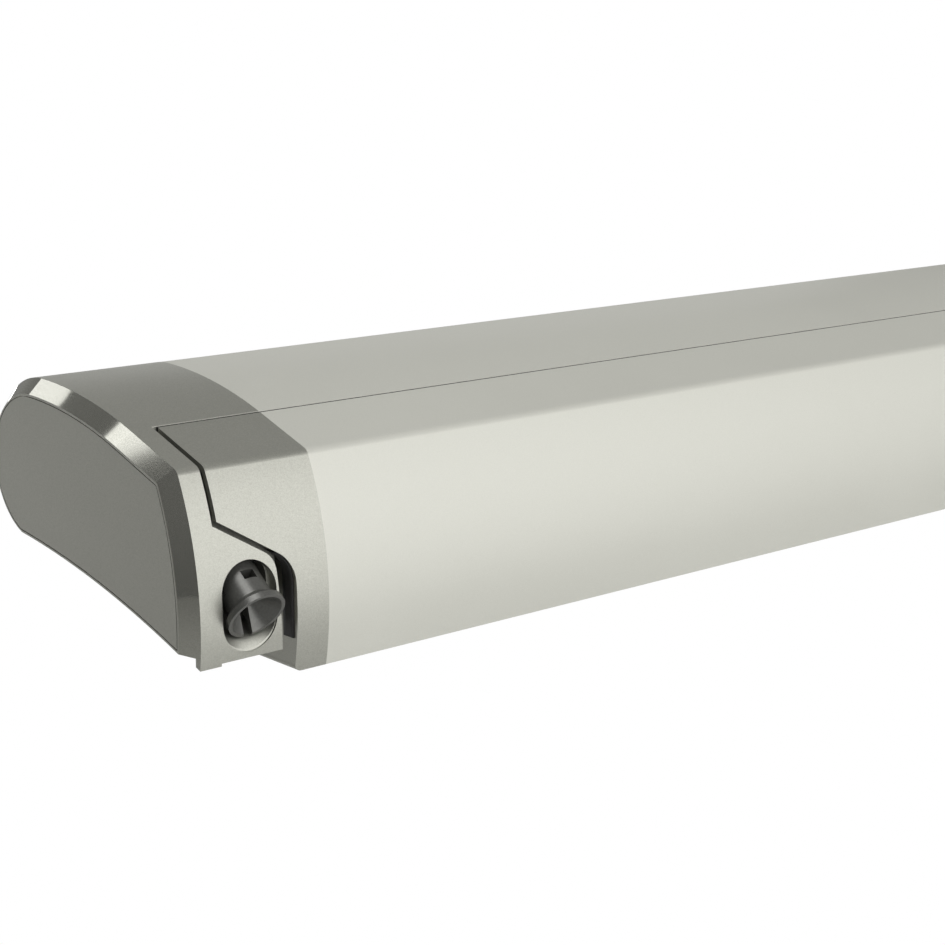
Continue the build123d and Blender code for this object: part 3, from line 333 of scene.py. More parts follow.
@dataclass
class SurfaceWriter:
    """Writes the tone and the height of a kind of surface into a node group.

    Args:
        writer: writer of the group.
        position: socket of the position.
        fineness: socket of the grain's scale.
        roughness: roughness of every noise.
        fine_share: share of the fine grain in the flakes' tone.
        wave_scale: scale of the powder coat's waves, as a share of the grain's.
        wave_share: share of the waves in the powder coat's height.
        draw_scale: scale of drawn metal along X, as a share of the scale across.
        yarn_scale: scale of the uneven yarn, as a share of the threads'.
        yarn_share: share of the yarn in the cloth's tone.
    """

    writer: NodeWriter
    position: Socket
    fineness: Socket
    roughness: float = 0.6
    fine_share: float = 0.4
    wave_scale: float = 0.25
    wave_share: float = 0.6
    draw_scale: float = 0.01
    yarn_scale: float = 0.4
    yarn_share: float = 0.55

    def write(self, surface: Surface) -> tuple[Socket, Socket]:
        """Write a kind of surface.

        Args:
            surface: kind of surface.

        Returns:
            Its tone and its height.
        """
        shape = {
            Surface.FLAKE_PAINT: self._flakes,
            Surface.POWDER_COAT: self._orange_peel,
            Surface.DRAWN_METAL: self._drawn,
            Surface.CAST_METAL: self._cast,
            Surface.TURNED_METAL: self._drawn,
            Surface.MOULDED: self._cast,
            Surface.WOVEN: self._weave,
        }[surface]
        return shape()

    def _noise(
        self, octaves: float, scale: Socket | None = None, position: Socket | None = None
    ) -> Socket:
        """Noise whose scale is given by a socket.

        Args:
            octaves: number of octaves.
            scale: socket of its scale, the grain's where it is left out.
            position: socket of its position, the surface's where it is left out.

        Returns:
            The noise's value.
        """
        values = {"Detail": octaves, "Roughness": self.roughness}
        noise = self.writer.add("ShaderNodeTexNoise", values)
        self.writer.link(position or self.position, noise.inputs["Vector"])
        self.writer.link(scale or self.fineness, noise.inputs["Scale"])
        return noise.outputs["Fac"]

    def _flakes(self) -> tuple[Socket, Socket]:
        """Metal flakes: cells of random brightness, mixed with a fine grain of their scale.

        Returns:
            Tone and height.
        """
        cells = self.writer.add("ShaderNodeTexVoronoi", feature="F1")
        self.writer.link(self.position, cells.inputs["Vector"])
        self.writer.link(self.fineness, cells.inputs["Scale"])
        spark = self.writer.add("ShaderNodeSeparateColor")
        self.writer.link(cells.outputs["Color"], spark.inputs["Color"])
        fine = self._noise(octaves=2.0)
        return self.writer.weigh(spark.outputs[0], fine, self.fine_share), fine

    def _orange_peel(self) -> tuple[Socket, Socket]:
        """Powder coat: a fine grain, mixed in its height with soft waves a few times as wide.

        Returns:
            Tone and height.
        """
        fine = self._noise(octaves=3.0)
        wide = self.writer.math("MULTIPLY", self.fineness, self.wave_scale)
        waves = self._noise(octaves=1.0, scale=wide)
        return fine, self.writer.weigh(fine, waves, self.wave_share)

    def _drawn(self) -> tuple[Socket, Socket]:
        """Drawn or turned metal: noise stretched along X, so it reads as fine lines.

        Returns:
            Tone and height.
        """
        stretch = self.writer.add("ShaderNodeVectorMath", operation="MULTIPLY")
        stretch.inputs[1].default_value = (self.draw_scale, 1.0, 1.0)
        self.writer.link(self.position, stretch.inputs[0])
        lines = self._noise(octaves=3.0, position=stretch.outputs[0])
        return lines, lines

    def _cast(self) -> tuple[Socket, Socket]:
        """Cast or moulded grain: round bumps of noise, as tone and as height."""
        bumps = self._noise(octaves=4.0)
        return bumps, bumps

    def _weave(self) -> tuple[Socket, Socket]:
        """Plain weave: the product of two sines, a thread to each half wave, and uneven yarn.

        Returns:
            Tone and height.
        """
        along, across, _ = self.writer.parts(self.position)
        turn = self.writer.math("MULTIPLY", self.fineness, math.pi)
        warp = self.writer.math("SINE", self.writer.math("MULTIPLY", along, turn))
        weft = self.writer.math("SINE", self.writer.math("MULTIPLY", across, turn))
        height = self.writer.from_signed(self.writer.math("MULTIPLY", warp, weft))
        uneven = self.writer.math("MULTIPLY", self.fineness, self.yarn_scale)
        yarn = self._noise(octaves=3.0, scale=uneven)
        return self.writer.weigh(height, yarn, self.yarn_share), height


@dataclass
class EffectGroups:
    """Node groups that several finishes share. Each gives a tone and a height from a position.

    Args:
        made: groups made so far.
        patch_scale: scale of the wide soft patches.
        patch_octaves: number of octaves in the patches.
        patch_roughness: roughness of the patches' noise.
    """

    made: dict[Surface, bpy.types.NodeTree] = field(default_factory=dict)
    patch_scale: float = 9.0
    patch_octaves: float = 4.0
    patch_roughness: float = 0.55

    def get(self, surface: Surface) -> bpy.types.NodeTree:
        """Group of a kind of surface, made at its first use.

        Args:
            surface: kind of surface.

        Returns:
            The node group, with inputs Position and Grain and outputs Tone, Height and Patch.
        """
        if surface not in self.made:
            self.made[surface] = self._build(surface)
        return self.made[surface]

    def _build(self, surface: Surface) -> bpy.types.NodeTree:
        """Build the group of one kind of surface.

        Args:
            surface: kind of surface.

        Returns:
            The new node group.
        """
        tree = bpy.data.node_groups.new(f"surface_{surface.name.lower()}", "ShaderNodeTree")
        tree.interface.new_socket("Position", in_out="INPUT", socket_type="NodeSocketVector")
        tree.interface.new_socket("Grain", in_out="INPUT", socket_type="NodeSocketFloat")
        for name in ("Tone", "Height", "Patch"):
            tree.interface.new_socket(name, in_out="OUTPUT", socket_type="NodeSocketFloat")
        writer = NodeWriter(tree)
        entry = writer.add("NodeGroupInput")
        leave = writer.add("NodeGroupOutput")
        position = entry.outputs["Position"]
        patch = writer.add("ShaderNodeTexNoise", {
            "Scale": self.patch_scale,
            "Detail": self.patch_octaves,
            "Roughness": self.patch_roughness,
        })
        writer.link(position, patch.inputs["Vector"])
        fineness = writer.math("DIVIDE", 1.0, entry.outputs["Grain"])
        tone, height = SurfaceWriter(writer, position, fineness).write(surface)
        for name, source in (("Tone", tone), ("Height", height), ("Patch", patch.outputs["Fac"])):
            writer.link(source, leave.inputs[name])
        return tree


@dataclass
class MaterialShop:
    """Makes one material per finish and coordinate source.

    Args:
        groups: node groups that the materials share.
        made: materials made so far, by slot and by whether they follow the UV.
        tone_stops: values at which the tone is fully dark and fully light.
        patch_share: share of the wide patches in the tone.
        coat_roughness: roughness of every clear coat.
        chamfer: distances from the middle between which the caps' outer chamfer lies.
        chamfer_roughness: roughness of that chamfer.
    """

    groups: EffectGroups = field(default_factory=EffectGroups)
    made: dict[tuple[str, bool], bpy.types.Material] = field(default_factory=dict)
    tone_stops: tuple[float, float] = (0.28, 0.72)
    patch_share: float = 0.25
    coat_roughness: float = 0.25
    chamfer: tuple[float, float] = (1.29252, 1.2998)
    chamfer_roughness: float = 0.062

    def get(self, slot: str, on_uv: bool = False) -> bpy.types.Material:
        """Material of a slot.

        Args:
            slot: name of the record's material slot.
            on_uv: take the piece's UV, in metres, in place of its object coordinates.

        Returns:
            The material.
        """
        key = (slot, on_uv)
        if key not in self.made:
            finish = next(finish for finish in FINISHES if finish.slot == slot)
            self.made[key] = self._build(finish, on_uv)
        return self.made[key]

    def _build(self, finish: Finish, on_uv: bool) -> bpy.types.Material:
        """Build the material of a finish.

        Args:
            finish: colour and surface.
            on_uv: take the piece's UV for the position.

        Returns:
            The new material.
        """
        material = bpy.data.materials.new(f"{finish.slot}_uv" if on_uv else finish.slot)
        material.use_nodes = True
        writer = NodeWriter(material.node_tree)
        shader = material.node_tree.nodes["Principled BSDF"]
        place = writer.add("ShaderNodeTexCoord")
        effect = writer.add("ShaderNodeGroup", node_tree=self.groups.get(finish.surface))
        effect.inputs["Grain"].default_value = finish.grain
        writer.link(place.outputs["UV" if on_uv else "Object"], effect.inputs["Position"])
        patch = effect.outputs["Patch"]
        tone = writer.weigh(effect.outputs["Tone"], patch, self.patch_share)
        colour = writer.ramp(tone, self.tone_stops, finish.dark, finish.light)
        writer.link(colour, shader.inputs["Base Color"])
        low, high = finish.roughness
        rough = writer.add("ShaderNodeMapRange", {"To Min": low, "To Max": high})
        writer.link(patch, rough.inputs["Value"])
        writer.link(rough.outputs["Result"], shader.inputs["Roughness"])
        bump = writer.add("ShaderNodeBump", {"Strength": 1.0, "Distance": finish.relief})
        writer.link(effect.outputs["Height"], bump.inputs["Height"])
        writer.link(bump.outputs["Normal"], shader.inputs["Normal"])
        if finish.surface is Surface.FLAKE_PAINT:
            self._polish_chamfer(writer, place.outputs["Object"], shader, bump)
        shader.inputs["Metallic"].default_value = finish.metallic
        shader.inputs["Coat Weight"].default_value = finish.coat
        shader.inputs["Coat Roughness"].default_value = self.coat_roughness
        shader.inputs["Sheen Weight"].default_value = finish.sheen
        material.diffuse_color = (*finish.light, 1.0)
        return material

    def _polish_chamfer(
        self, writer: NodeWriter, position: Socket, shader: bpy.types.Node, bump: bpy.types.Node
    ) -> None:
        """Make the caps' outer chamfer glossier and smoother than their faces.

        A mask is one where the distance from the middle lies between the chamfer's two edges.
        It puts the chamfer's roughness in place of the faces', and takes away the grain.

        Args:
            writer: writer of the material.
            position: socket of the object coordinates.
            shader: Principled shader, whose roughness is that of the faces.
            bump: node that turns the faces' grain into a normal.
        """
        start, end = self.chamfer
        out = writer.math("ABSOLUTE", writer.parts(position)[0])
        past = writer.math("GREATER_THAN", out, start)
        mask = writer.math("MULTIPLY", past, writer.math("LESS_THAN", out, end))
        blend = writer.add("ShaderNodeMix", {"B": self.chamfer_roughness})
        writer.link(mask, blend.inputs["Factor"])
        writer.link(shader.inputs["Roughness"].links[0].from_socket, blend.inputs["A"])
        writer.link(blend.outputs["Result"], shader.inputs["Roughness"])
        plain = writer.math("SUBTRACT", 1.0, mask)
        grain = bump.inputs["Height"].links[0].from_socket
        writer.link(writer.math("MULTIPLY", grain, plain), bump.inputs["Height"])


def unit(vectors: np.ndarray) -> np.ndarray:
    """Vectors of length one: each is divided by its own length."""
    return vectors / np.linalg.norm(vectors, axis=-1, keepdims=True)


def direction(angle: np.ndarray | float) -> np.ndarray:
    """Unit vectors in a plane: the cosine and the sine of each angle."""
    return np.stack([np.cos(angle), np.sin(angle)], axis=-1)


def quarter_turn(vectors: np.ndarray) -> np.ndarray:
    """Vectors in a plane turned left by a right angle: minus the second part, then the first."""
    return np.stack([-vectors[..., 1], vectors[..., 0]], axis=-1)


def run_along(line: np.ndarray) -> np.ndarray:
    """Distance of each point along a line: the running sum of the lengths of its steps."""
    steps = np.linalg.norm(np.diff(line, axis=0), axis=1)
    return np.concatenate([[0.0], np.cumsum(steps)])


def new_mesh_object(
    name: str, points: np.ndarray, faces: np.ndarray, material: bpy.types.Material,
    uv: np.ndarray | None = None,
) -> bpy.types.Object:
    """Make a smooth mesh object at the origin.

    Args:
        name: name of the piece.
        points: vertices, shape (n, 3), in metres.
        faces: quads as vertex numbers, shape (m, 4).
        material: its material.
        uv: one UV per vertex, shape (n, 2), in metres.

    Returns:
        The new object.
    """
    mesh = bpy.data.meshes.new(name)
    mesh.from_pydata(points.tolist(), [], faces.tolist())
    mesh.polygons.foreach_set("use_smooth", np.ones(len(mesh.polygons), dtype=bool))
    if uv is not None:
        layer = mesh.uv_layers.new(name="cut")
        corners = np.empty(len(mesh.loops), dtype=np.int32)
        mesh.loops.foreach_get("vertex_index", corners)
        layer.data.foreach_set("uv", uv[corners].astype(np.float32).ravel())
    mesh.materials.append(material)
    mesh.update()
    piece = bpy.data.objects.new(name, mesh)
    bpy.context.scene.collection.objects.link(piece)
    LOG.info("%s: %d points, %d faces", name, len(points), len(faces))
    return piece


def closed_shell(
    name: str, upper: np.ndarray, lower: np.ndarray, material: bpy.types.Material,
    uv: np.ndarray | None = None,
) -> bpy.types.Object:
    """Make a thin closed shell: two grids of points back to back, joined round their edge.

    Each quad joins a point to the next in its row and its column. The lower grid's quads run
    the other way round, so that both grids face outwards.

    Args:
        name: name of the piece.
        upper: points of one side, shape (rows, columns, 3). It faces along the step from
            column to column, crossed with the step from row to row.
        lower: points of the other side, of the same shape.
        material: its material.
        uv: one UV for each place of the grids, shape (rows, columns, 2), in metres.

    Returns:
        The new object.
    """
    rows, columns = upper.shape[:2]
    over = np.arange(rows * columns).reshape(rows, columns)
    under = over + rows * columns
    top = [over[:-1, :-1], over[:-1, 1:], over[1:, 1:], over[1:, :-1]]
    bottom = [under[:-1, :-1], under[1:, :-1], under[1:, 1:], under[:-1, 1:]]
    rim = np.concatenate([over[0, :-1], over[:-1, -1], over[-1, :0:-1], over[:0:-1, 0]])
    low = rim + rows * columns
    edge = [rim, low, np.roll(low, -1), np.roll(rim, -1)]
    faces = [np.stack(corners, axis=-1).reshape(-1, 4) for corners in (top, bottom, edge)]
    points = np.stack([upper, lower]).reshape(-1, 3)
    places = None if uv is None else np.stack([uv, uv]).reshape(-1, 2)
    return new_mesh_object(name, points, np.concatenate(faces), material, places)


def thin_sheet(
    name: str, line: np.ndarray, normal: np.ndarray, stations: np.ndarray, thickness: float,
    material: bpy.types.Material, ripple: np.ndarray | None = None,
) -> bpy.types.Object:
    """Make a sheet that carries a section along X.

    At each station, a side's point is the section's point plus its normal times half of the
    thickness and the ripple. The UV is the station and the distance along the section.

    Args:
        name: name of the piece.
        line: middle line of the section, shape (n, 2), as Y and Z.
        normal: unit normals of that line, shape (n, 2).
        stations: places along X.
        thickness: thickness in metres.
        material: its material.
        ripple: shift along the normal, shape (n, len(stations)), none where it is left out.

    Returns:
        The new object.
    """
    shift = np.zeros((len(line), len(stations))) if ripple is None else ripple
    sides = []
    for level in (thickness / 2, -thickness / 2):
        section = line[:, None] + normal[:, None] * (shift + level)[..., None]
        x = np.broadcast_to(stations, shift.shape)[..., None]
        sides.append(np.concatenate([x, section], axis=-1))
    cut = np.stack(np.broadcast_arrays(stations[None, :], run_along(line)[:, None]), axis=-1)
    return closed_shell(name, *sides, material, cut)


def end_cap_quads(ring: np.ndarray) -> np.ndarray:
    """Quads that close a ring with an even number of points, from one half of it to the other.

    Args:
        ring: vertex numbers around the ring.

    Returns:
        Faces as vertex numbers.
    """
    half = len(ring) // 2
    left = ring[:half]
    right = ring[half:][::-1]
    return np.stack([left[:-1], right[:-1], right[1:], left[1:]], axis=-1)


def round_bar(
    name: str, path: np.ndarray, outward: np.ndarray, radius: float, sides: int,
    material: bpy.types.Material,
) -> bpy.types.Object:
    """Make a round bar that follows a path, with closed ends.

    A point is the path's point plus the radius times the cosine of its angle along a first
    vector square to the path and the sine along a second one, square to both. The rings at
    the two ends are drawn in to a tip.

    Args:
        name: name of the piece.
        path: points of its middle line, shape (n, 3).
        outward: directions that give the first vectors, shape (n, 3).
        radius: radius of the bar.
        sides: points around it, an even number.
        material: its material.

    Returns:
        The new object.
    """
    along = unit(np.gradient(path, axis=0))
    first = unit(outward - along * np.sum(outward * along, axis=1, keepdims=True))
    second = np.cross(along, first)
    angle = np.linspace(0, 2 * math.pi, sides, endpoint=False)[:, None]
    ring = first[:, None] * np.cos(angle) + second[:, None] * np.sin(angle)
    width = np.full(len(path), radius)
    width[[0, -1]] = radius * TIP_SHARE
    points = (path[:, None] + ring * width[:, None, None]).reshape(-1, 3)
    grid = np.arange(len(points)).reshape(len(path), sides)
    following = np.roll(grid, -1, axis=1)
    corners = [grid[:-1], following[:-1], following[1:], grid[1:]]
    faces = np.stack(corners, axis=-1).reshape(-1, 4)
    caps = [end_cap_quads(grid[0]), end_cap_quads(grid[-1])[:, ::-1]]
    return new_mesh_object(name, points, np.concatenate([faces, *caps]), material)


@dataclass
class CarriedNodes:
    """CAD nodes that keep their shape and get their finish.

    Args:
        shop: maker of the materials.
    """

    shop: MaterialShop

    def dress(self) -> None:
        """Give each node the finish of its material slot."""
        slots = {part["node"]: part["material_slot"] for part in frame["record"]["subparts"]}
        for name, node in frame["nodes"].items():
            node.data.materials.clear()
            node.data.materials.append(self.shop.get(slots[name]))
            LOG.info("%s: %s", name, slots[name])


@dataclass
class Canopy:
    """The canopy: the turns on the roller, the free stretch to the rail, and its hem.

    Args:
        shop: maker of the materials.
        half_width: half of its width along X.
        thickness: thickness of the cloth.
        axis: Y and Z of the roller's axis.
        inner_radius: middle of the first turn.
        outer_radius: middle of the last turn.
        turns: turns on the roller when closed.
        leave: Y and Z where the cloth leaves the rail's groove.
        touch: angle about the roller at which it meets the roll, in degrees.
        stations: places along X at which the free stretch has points.
        wide_step: the roll and the hem have points at one in so many of these places.
        turn_points: points on each turn.
        free_points: points from the groove to the roll.
        lying: angles past the touch between which the stretch lies on the roll, in degrees.
        lying_points: points on that part.
        lying_lift: its height over the middle of the last turn, in thicknesses.
        slack: depth by which the free stretch sags halfway.
        slack_change: share by which this depth changes along X, up and down.
        slack_rate: rate of these changes, in radians to the metre.
        drift: shift of the changes to and fro, in radians.
        drift_rate: rate of that shift, in radians to the metre.
        hem_length: length of the hem.
        hem_points: points along the hem.
        hem_lift: height of the hem over the free stretch, in thicknesses.
    """

    shop: MaterialShop
    half_width: float = 1.1885
    thickness: float = 0.00042
    axis: tuple[float, float] = (0.0370223, 0.0705223)
    inner_radius: float = 0.03025
    outer_radius: float = 0.0347
    turns: float = 10.4
    leave: tuple[float, float] = (-0.0489, 0.09143)
    touch: float = 100.07
    stations: int = 81
    wide_step: int = 4
    turn_points: int = 44
    free_points: int = 61
    lying: tuple[float, float] = (2.5, 30.0)
    lying_points: int = 12
    lying_lift: float = 1.3
    slack: float = 0.0006
    slack_change: float = 0.4
    slack_rate: float = 9.0
    drift: float = 0.6
    drift_rate: float = 4.0
    hem_length: float = 0.016
    hem_points: int = 9
    hem_lift: float = 1.05

    def build(self) -> None:
        """Build the roll, the free stretch and the hem."""
        cloth = self.shop.get("canopy_cloth", on_uv=True)
        stations = np.linspace(-self.half_width, self.half_width, self.stations)
        self._roll(cloth, stations[::self.wide_step])
        self._stretch(cloth, stations)
        self._hem(cloth, stations[::self.wide_step])

    def _meeting(self, radius: float) -> np.ndarray:
        """Y and Z of the touch on a circle: the axis plus the radius at the touch angle."""
        return np.array(self.axis) + radius * direction(math.radians(self.touch))

    def _roll(self, cloth: bpy.types.Material, stations: np.ndarray) -> None:
        """Wind the turns: the radius grows evenly with the angle, out to the touch angle.

        Args:
            cloth: material of the cloth.
            stations: places along X.
        """
        steps = int(self.turns * self.turn_points)
        end = math.radians(self.touch)
        normal = direction(np.linspace(end + 2 * math.pi * self.turns, end, steps))
        radius = np.linspace(self.inner_radius, self.outer_radius, steps)
        line = np.array(self.axis) + normal * radius[:, None]
        roll = thin_sheet("canopy_roll", line, normal, stations, self.thickness, cloth)
        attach(roll, "roller")
        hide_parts("fabric_roll")

    def _stretch(self, cloth: bpy.types.Material, stations: np.ndarray) -> None:
        """Free stretch from the groove to the roll, slightly slack, its last part on the roll.

        The free part is straight and sags by half a sine wave, whose depth changes along X
        by a sine with a drifting phase. The last part is an arc about the roller's axis.

        Args:
            cloth: material of the cloth.
            stations: places along X.
        """
        radius = self.outer_radius + self.thickness * self.lying_lift
        near, far = np.array(self.leave), self._meeting(radius)
        share = np.linspace(0.0, 1.0, self.free_points)
        free = near + (far - near) * share[:, None]
        across = np.broadcast_to(unit(quarter_turn(far - near)), free.shape)
        wrap = self.touch - np.linspace(*self.lying, self.lying_points)
        turned = direction(np.radians(wrap))
        line = np.concatenate([free, np.array(self.axis) + turned * radius])
        normal = np.concatenate([across, turned])
        sag = np.concatenate([np.sin(math.pi * share), np.zeros(self.lying_points)])
        phase = self.slack_rate * stations + self.drift * np.sin(self.drift_rate * stations)
        depth = self.slack * (1.0 + self.slack_change * np.sin(phase))
        ripple = -sag[:, None] * depth[None, :]
        sheet = thin_sheet(
            "canopy_sheet_cloth", line, normal, stations, self.thickness, cloth, ripple
        )
        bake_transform(sheet)
        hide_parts("canopy_sheet", "canopy_tail")

    def _hem(self, cloth: bpy.types.Material, stations: np.ndarray) -> None:
        """Welded hem: a straight second layer on the first stretch behind the groove.

        Args:
            cloth: material of the cloth.
            stations: places along X.
        """
        near = np.array(self.leave)
        run = unit(self._meeting(self.outer_radius) - near)
        across = quarter_turn(run)
        reach = np.linspace(0.0, self.hem_length, self.hem_points)
        line = near + run * reach[:, None] + across * (self.thickness * self.hem_lift)
        normal = np.broadcast_to(across, line.shape)
        hem = thin_sheet("canopy_hem", line, normal, stations, self.thickness, cloth)
        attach(hem, "rail")


@dataclass
class SocketSeat:
    """Scoop inside the crank window: it rises from the window's lower edge to the pocket's floor.

    Args:
        shop: maker of the materials.
        middle: X of the window's middle.
        centre_height: Z of the centre of the window's lower arc.
        radius: radius of that arc, a little inside the window.
        front: Y of the scoop's front edge.
        half_angle: angle to either side of the lowest point, in degrees.
        thickness: thickness of the wall.
        lean: shares of the thickness that go outwards from the arc and backwards.
        depths: distances back from the front edge.
        rises: rise of the lowest line at these distances.
        rows: points from the front to the back.
        columns: points around the arc.
    """

    shop: MaterialShop
    middle: float = -1.2644
    centre_height: float = 0.0141
    radius: float = 0.01545
    front: float = -0.0988
    half_angle: float = 80.0
    thickness: float = 0.0006
    lean: tuple[float, float] = (0.8, 0.3)
    depths: tuple[float, ...] = (0.0, 0.0015, 0.003, 0.0045, 0.007, 0.0105, 0.015)
    rises: tuple[float, ...] = (0.0, 0.0032, 0.0055, 0.0068, 0.0078, 0.0089, 0.0103)
    rows: int = 25
    columns: int = 49

    def build(self) -> bpy.types.Object:
        """Build the scoop as a thin closed shell.

        X is the window's middle plus the radius times the sine of the angle. Z is the arc's
        centre less the cosine times what the rise leaves of the radius. Y is the depth behind
        the front edge. The wall's other side is pushed out from the arc and back.

        Returns:
            The new object.
        """
        depth = np.linspace(self.depths[0], self.depths[-1], self.rows)[:, None]
        rise = np.interp(depth, self.depths, self.rises)
        angle = np.radians(np.linspace(-self.half_angle, self.half_angle, self.columns))[None, :]
        x = self.middle + self.radius * np.sin(angle)
        z = self.centre_height - (self.radius - rise) * np.cos(angle)
        upper = np.stack(np.broadcast_arrays(x, self.front + depth, z), axis=-1)
        out, back = self.lean
        push = np.broadcast_arrays(out * np.sin(angle), back, -out * np.cos(angle))
        lower = upper + self.thickness * np.stack(push, axis=-1)
        seat = closed_shell("socket_seat", upper, lower, self.shop.get("cap_coating"))
        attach(seat, "case")
        return seat


@dataclass
class GapSealAndShade:
    """Rubber strip on the return wall of the rail's cap, beside the crank window. It is partly a
    real seal and partly painted shade: its black darkens the gap between the caps.

    Args:
        shop: maker of the materials.
        outline: X and Z along the return wall's edge, from the bottom to the parting line.
        front: Y of the strip's front edge.
        depth: depth of the strip.
        top_depth: depth of its upper part, which clears the case's cap.
        top_heights: Z where it starts to grow shallower and where it has its upper depth.
        clearance: gap between the strip and the wall.
        thickness: distance of the strip's face from the wall.
        columns: points from the front to the back.
    """

    shop: MaterialShop
    outline: tuple[tuple[float, float], ...] = (
        (-1.2370, -0.0010), (-1.2370, 0.0100), (-1.2370, 0.0200), (-1.2370, 0.0282),
        (-1.2372, 0.0300), (-1.2379, 0.0328), (-1.2391, 0.0357), (-1.2403, 0.0377),
        (-1.2421, 0.0400), (-1.2437, 0.0415), (-1.2451, 0.0426), (-1.2475, 0.0441),
    )
    front: float = -0.0970
    depth: float = 0.0080
    top_depth: float = 0.0064
    top_heights: tuple[float, float] = (0.0300, 0.0357)
    clearance: float = 0.00002
    thickness: float = 0.0008
    columns: int = 5

    def build(self) -> bpy.types.Object:
        """Build the strip: its outline is pushed off the wall and drawn back along Y.

        Each side is the outline plus the wall's normal times the side's distance from the
        wall. Y is the front plus a share of the depth, which falls evenly between two heights.

        Returns:
            The new object.
        """
        wall = np.array(self.outline)
        off = quarter_turn(unit(np.gradient(wall, axis=0)))
        depth = np.interp(wall[:, 1:], self.top_heights, (self.depth, self.top_depth))
        y = self.front + depth * np.linspace(0.0, 1.0, self.columns)
        sides = []
        for lift in (self.clearance, self.thickness):
            x, z = (wall + off * lift).T[:, :, None]
            sides.append(np.stack(np.broadcast_arrays(x, y, z), axis=-1))
        # Black rubber that also serves as painted shade, darkening the gap between the end cap and
        # the rail's cap.
        seal = closed_shell("gap_seal_and_shade", *sides, self.shop.get("rubber_black"))
        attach(seal, "rail")
        return seal


@dataclass
class ArmSpring:
    """Tension spring inside an upper arm, with a straight shank at each end.

    Args:
        shop: maker of the materials.
        side: end of the awning.
        shoulder: distance of the shoulder pivot from the middle, its Y and its Z.
        start: reach at which the near shank starts.
        end: reach at which the far shank ends.
        coil_length: length of the coils.
        coil_radius: radius of the coils' middle line.
        wire_radius: radius of the wire.
        pitch: distance from turn to turn.
        run_in: length over which the wire goes from the shank to the coils.
        turn_points: points along each turn.
        shank_points: points along each shank.
        sides: points around the wire.
    """

    shop: MaterialShop
    side: Side
    shoulder: Triple = (1.19, -0.024, 0.055)
    start: float = 0.086
    end: float = 0.99388
    coil_length: float = 0.62
    coil_radius: float = 0.0084
    wire_radius: float = 0.0015
    pitch: float = 0.0034
    run_in: float = 0.004
    turn_points: int = 12
    shank_points: int = 6
    sides: int = 8

    def build(self) -> bpy.types.Object:
        """Build the spring: its wire turns evenly about the arm's line as it goes out along it.

        The angle is a full turn for each pitch of the reach. The distance from the arm's line
        is the coil radius times three squares less two cubes of the share of the run-in, so
        the wire leaves the shank and joins the coils smoothly.

        Returns:
            The new object.
        """
        middle = (self.start + self.end) / 2
        first = middle - self.coil_length / 2
        enter = first - self.run_in
        leave = middle + self.coil_length / 2 + self.run_in
        coils = int(self.coil_length / self.pitch)
        shank = np.linspace(self.start, enter, self.shank_points, endpoint=False)
        coil = np.linspace(enter, leave, coils * self.turn_points)
        tail = np.linspace(leave, self.end, self.shank_points + 1)[1:]
        reach = np.concatenate([shank, coil, tail])
        turn = 2 * math.pi * (np.clip(reach, enter, leave) - first) / self.pitch
        near_share = np.clip((reach - enter) / self.run_in, 0, 1)
        share = near_share * np.clip((leave - reach) / self.run_in, 0, 1)
        radius = self.coil_radius * share**2 * (3 - 2 * share)
        outward = np.column_stack([np.zeros_like(turn), direction(turn)])
        path = np.array(self.shoulder) + outward * radius[:, None]
        path[:, 0] = self.side.value * (self.shoulder[0] - reach)
        name = self.side.name.lower()
        steel = self.shop.get("spring_steel")
        spring = round_bar(
            f"spring_coil_{name}", path, outward, self.wire_radius, self.sides, steel
        )
        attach(spring, f"upper_arm_{name}")
        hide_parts(f"arm_spring_{name}")
        return spring


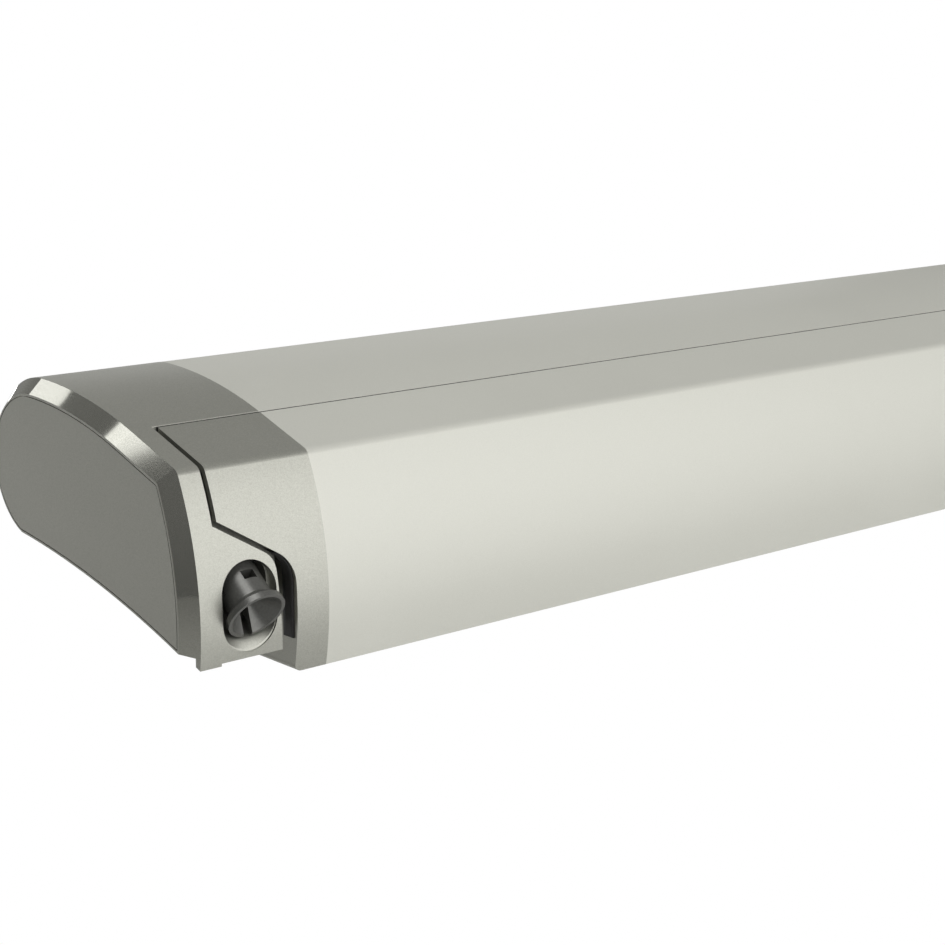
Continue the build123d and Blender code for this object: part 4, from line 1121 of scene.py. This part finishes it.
@dataclass
class Studio:
    """Floor, world, lights and camera.

    Args:
        floor_height: Z of the ground under the open awning.
        floor_reach: distance of the ground's edges from the middle.
        floor_colour: colour of the ground, linear RGB.
        floor_roughness: roughness of the ground.
        sky_band: heights, from 0 below to 1 above, between which the sky turns pale.
        sky_low: colour of the sky below, linear RGB.
        sky_high: colour of the sky above, linear RGB.
        shade_band: X of the direction at which the sky is dimmest and at which it is full.
        shade_strength: strength of the sky at these two.
        camera_place: place of the camera.
        right: camera's right direction.
        up: camera's up direction.
        lens: focal length in millimetres.
        sensor: width of the sensor in millimetres.
        clip: nearest and farthest distance the camera sees.
    """

    floor_height: float = -2.3
    floor_reach: float = 14.0
    floor_colour: Triple = (0.74, 0.74, 0.73)
    floor_roughness: float = 0.9
    sky_band: tuple[float, float] = (0.38, 0.62)
    sky_low: Triple = (0.16, 0.16, 0.155)
    sky_high: Triple = (0.34, 0.34, 0.33)
    shade_band: tuple[float, float] = (-0.5, 0.1)
    shade_strength: tuple[float, float] = (0.36, 1.0)
    camera_place: Triple = (-1.7960, -0.8722, 0.2902)
    right: Triple = (0.7551, -0.6556, 0.0)
    up: Triple = (0.1407, 0.1621, 0.9767)
    lens: float = 78.1
    sensor: float = 36.0
    clip: tuple[float, float] = (0.01, 100.0)

    def build(self) -> None:
        """Set up everything around the object."""
        self._floor()
        self._world()
        for light in LIGHTS:
            self._light(light)
        self._camera()
        bpy.context.scene.view_settings.view_transform = "Standard"

    def _floor(self) -> None:
        """Plain pale ground, far enough below for the open legs: one flat square."""
        corner = self.floor_reach * np.array([[-1.0, -1.0], [1.0, -1.0], [1.0, 1.0], [-1.0, 1.0]])
        points = np.column_stack([corner, np.full(len(corner), self.floor_height)])
        material = bpy.data.materials.new("ground")
        material.use_nodes = True
        nodes = material.node_tree.nodes
        shader = nodes["Principled BSDF"]
        shader.inputs["Base Color"].default_value = (*self.floor_colour, 1.0)
        shader.inputs["Roughness"].default_value = self.floor_roughness
        surface = nodes["Material Output"].inputs["Surface"]
        writer = NodeWriter(material.node_tree)
        writer.white_to_camera("ShaderNodeEmission", shader.outputs["BSDF"], surface)
        ground = new_mesh_object("ground", points, np.arange(len(corner))[None, :], material)

    def _world(self) -> None:
        """White to the camera. To other rays the sky is softer, and paler above than below.

        The height is half of the direction's Z, plus a half. The strength falls along the
        direction's X, so that the near end of the awning mirrors a dimmer sky.
        """
        world = bpy.data.worlds.new("studio")
        world.use_nodes = True
        bpy.context.scene.world = world
        writer = NodeWriter(world.node_tree)
        nodes = world.node_tree.nodes
        sky = nodes["Background"]
        across, _, upward = writer.parts(writer.add("ShaderNodeTexCoord").outputs["Generated"])
        height = writer.from_signed(upward)
        colour = writer.ramp(height, self.sky_band, self.sky_low, self.sky_high)
        writer.link(colour, sky.inputs["Color"])
        names = ("From Min", "From Max", "To Min", "To Max")
        values = dict(zip(names, self.shade_band + self.shade_strength))
        shade = writer.add("ShaderNodeMapRange", values)
        writer.link(across, shade.inputs["Value"])
        writer.link(shade.outputs["Result"], sky.inputs["Strength"])
        surface = nodes["World Output"].inputs["Surface"]
        writer.white_to_camera("ShaderNodeBackground", sky.outputs[0], surface)

    def _light(self, light: AreaLight) -> None:
        """Add a light that faces its target. Its width lies level.

        Its back points from the target to its place, and its right is up crossed with that.

        Args:
            light: its place, size and power.
        """
        lamp = bpy.data.lights.new(light.name, "AREA")
        lamp.shape = "RECTANGLE"
        lamp.size, lamp.size_y = light.size
        lamp.energy = light.power
        body = bpy.data.objects.new(light.name, lamp)
        back = np.array(light.place) - np.array(light.target)
        right = np.cross(UPWARD, back)
        self._place(body, light.place, right, np.cross(back, right))
        bpy.context.scene.collection.objects.link(body)

    def _camera(self) -> None:
        """Add the camera at the photograph's viewpoint."""
        data = bpy.data.cameras.new("camera")
        data.sensor_width = self.sensor
        data.lens = self.lens
        data.clip_start, data.clip_end = self.clip
        camera = bpy.data.objects.new("camera", data)
        self._place(camera, self.camera_place, np.array(self.right), np.array(self.up))
        bpy.context.scene.collection.objects.link(camera)
        bpy.context.scene.camera = camera

    @staticmethod
    def _place(body: bpy.types.Object, place: Triple, right: np.ndarray, up: np.ndarray) -> None:
        """Set an object's matrix from its right and up.

        Its back is right crossed with up, and its local Y is its back crossed with right.

        Args:
            body: object that is placed.
            place: where it stands.
            right: its local X.
            up: direction of its local Y, which need not be quite square to its X.
        """
        right = unit(right)
        back = unit(np.cross(right, up))
        matrix = np.eye(4)
        matrix[:3] = np.column_stack([right, np.cross(back, right), back, place])
        body.matrix_world = Matrix(matrix.tolist())


def main() -> None:
    """Dress the frame, build the pieces and set the scene."""
    logging.basicConfig(level=logging.INFO, format="%(message)s")
    shop = MaterialShop()
    CarriedNodes(shop).dress()
    Canopy(shop).build()
    SocketSeat(shop).build()
    GapSealAndShade(shop).build()
    for side in Side:
        ArmSpring(shop, side).build()
    Studio().build()


if __name__ == "__main__":
    main()
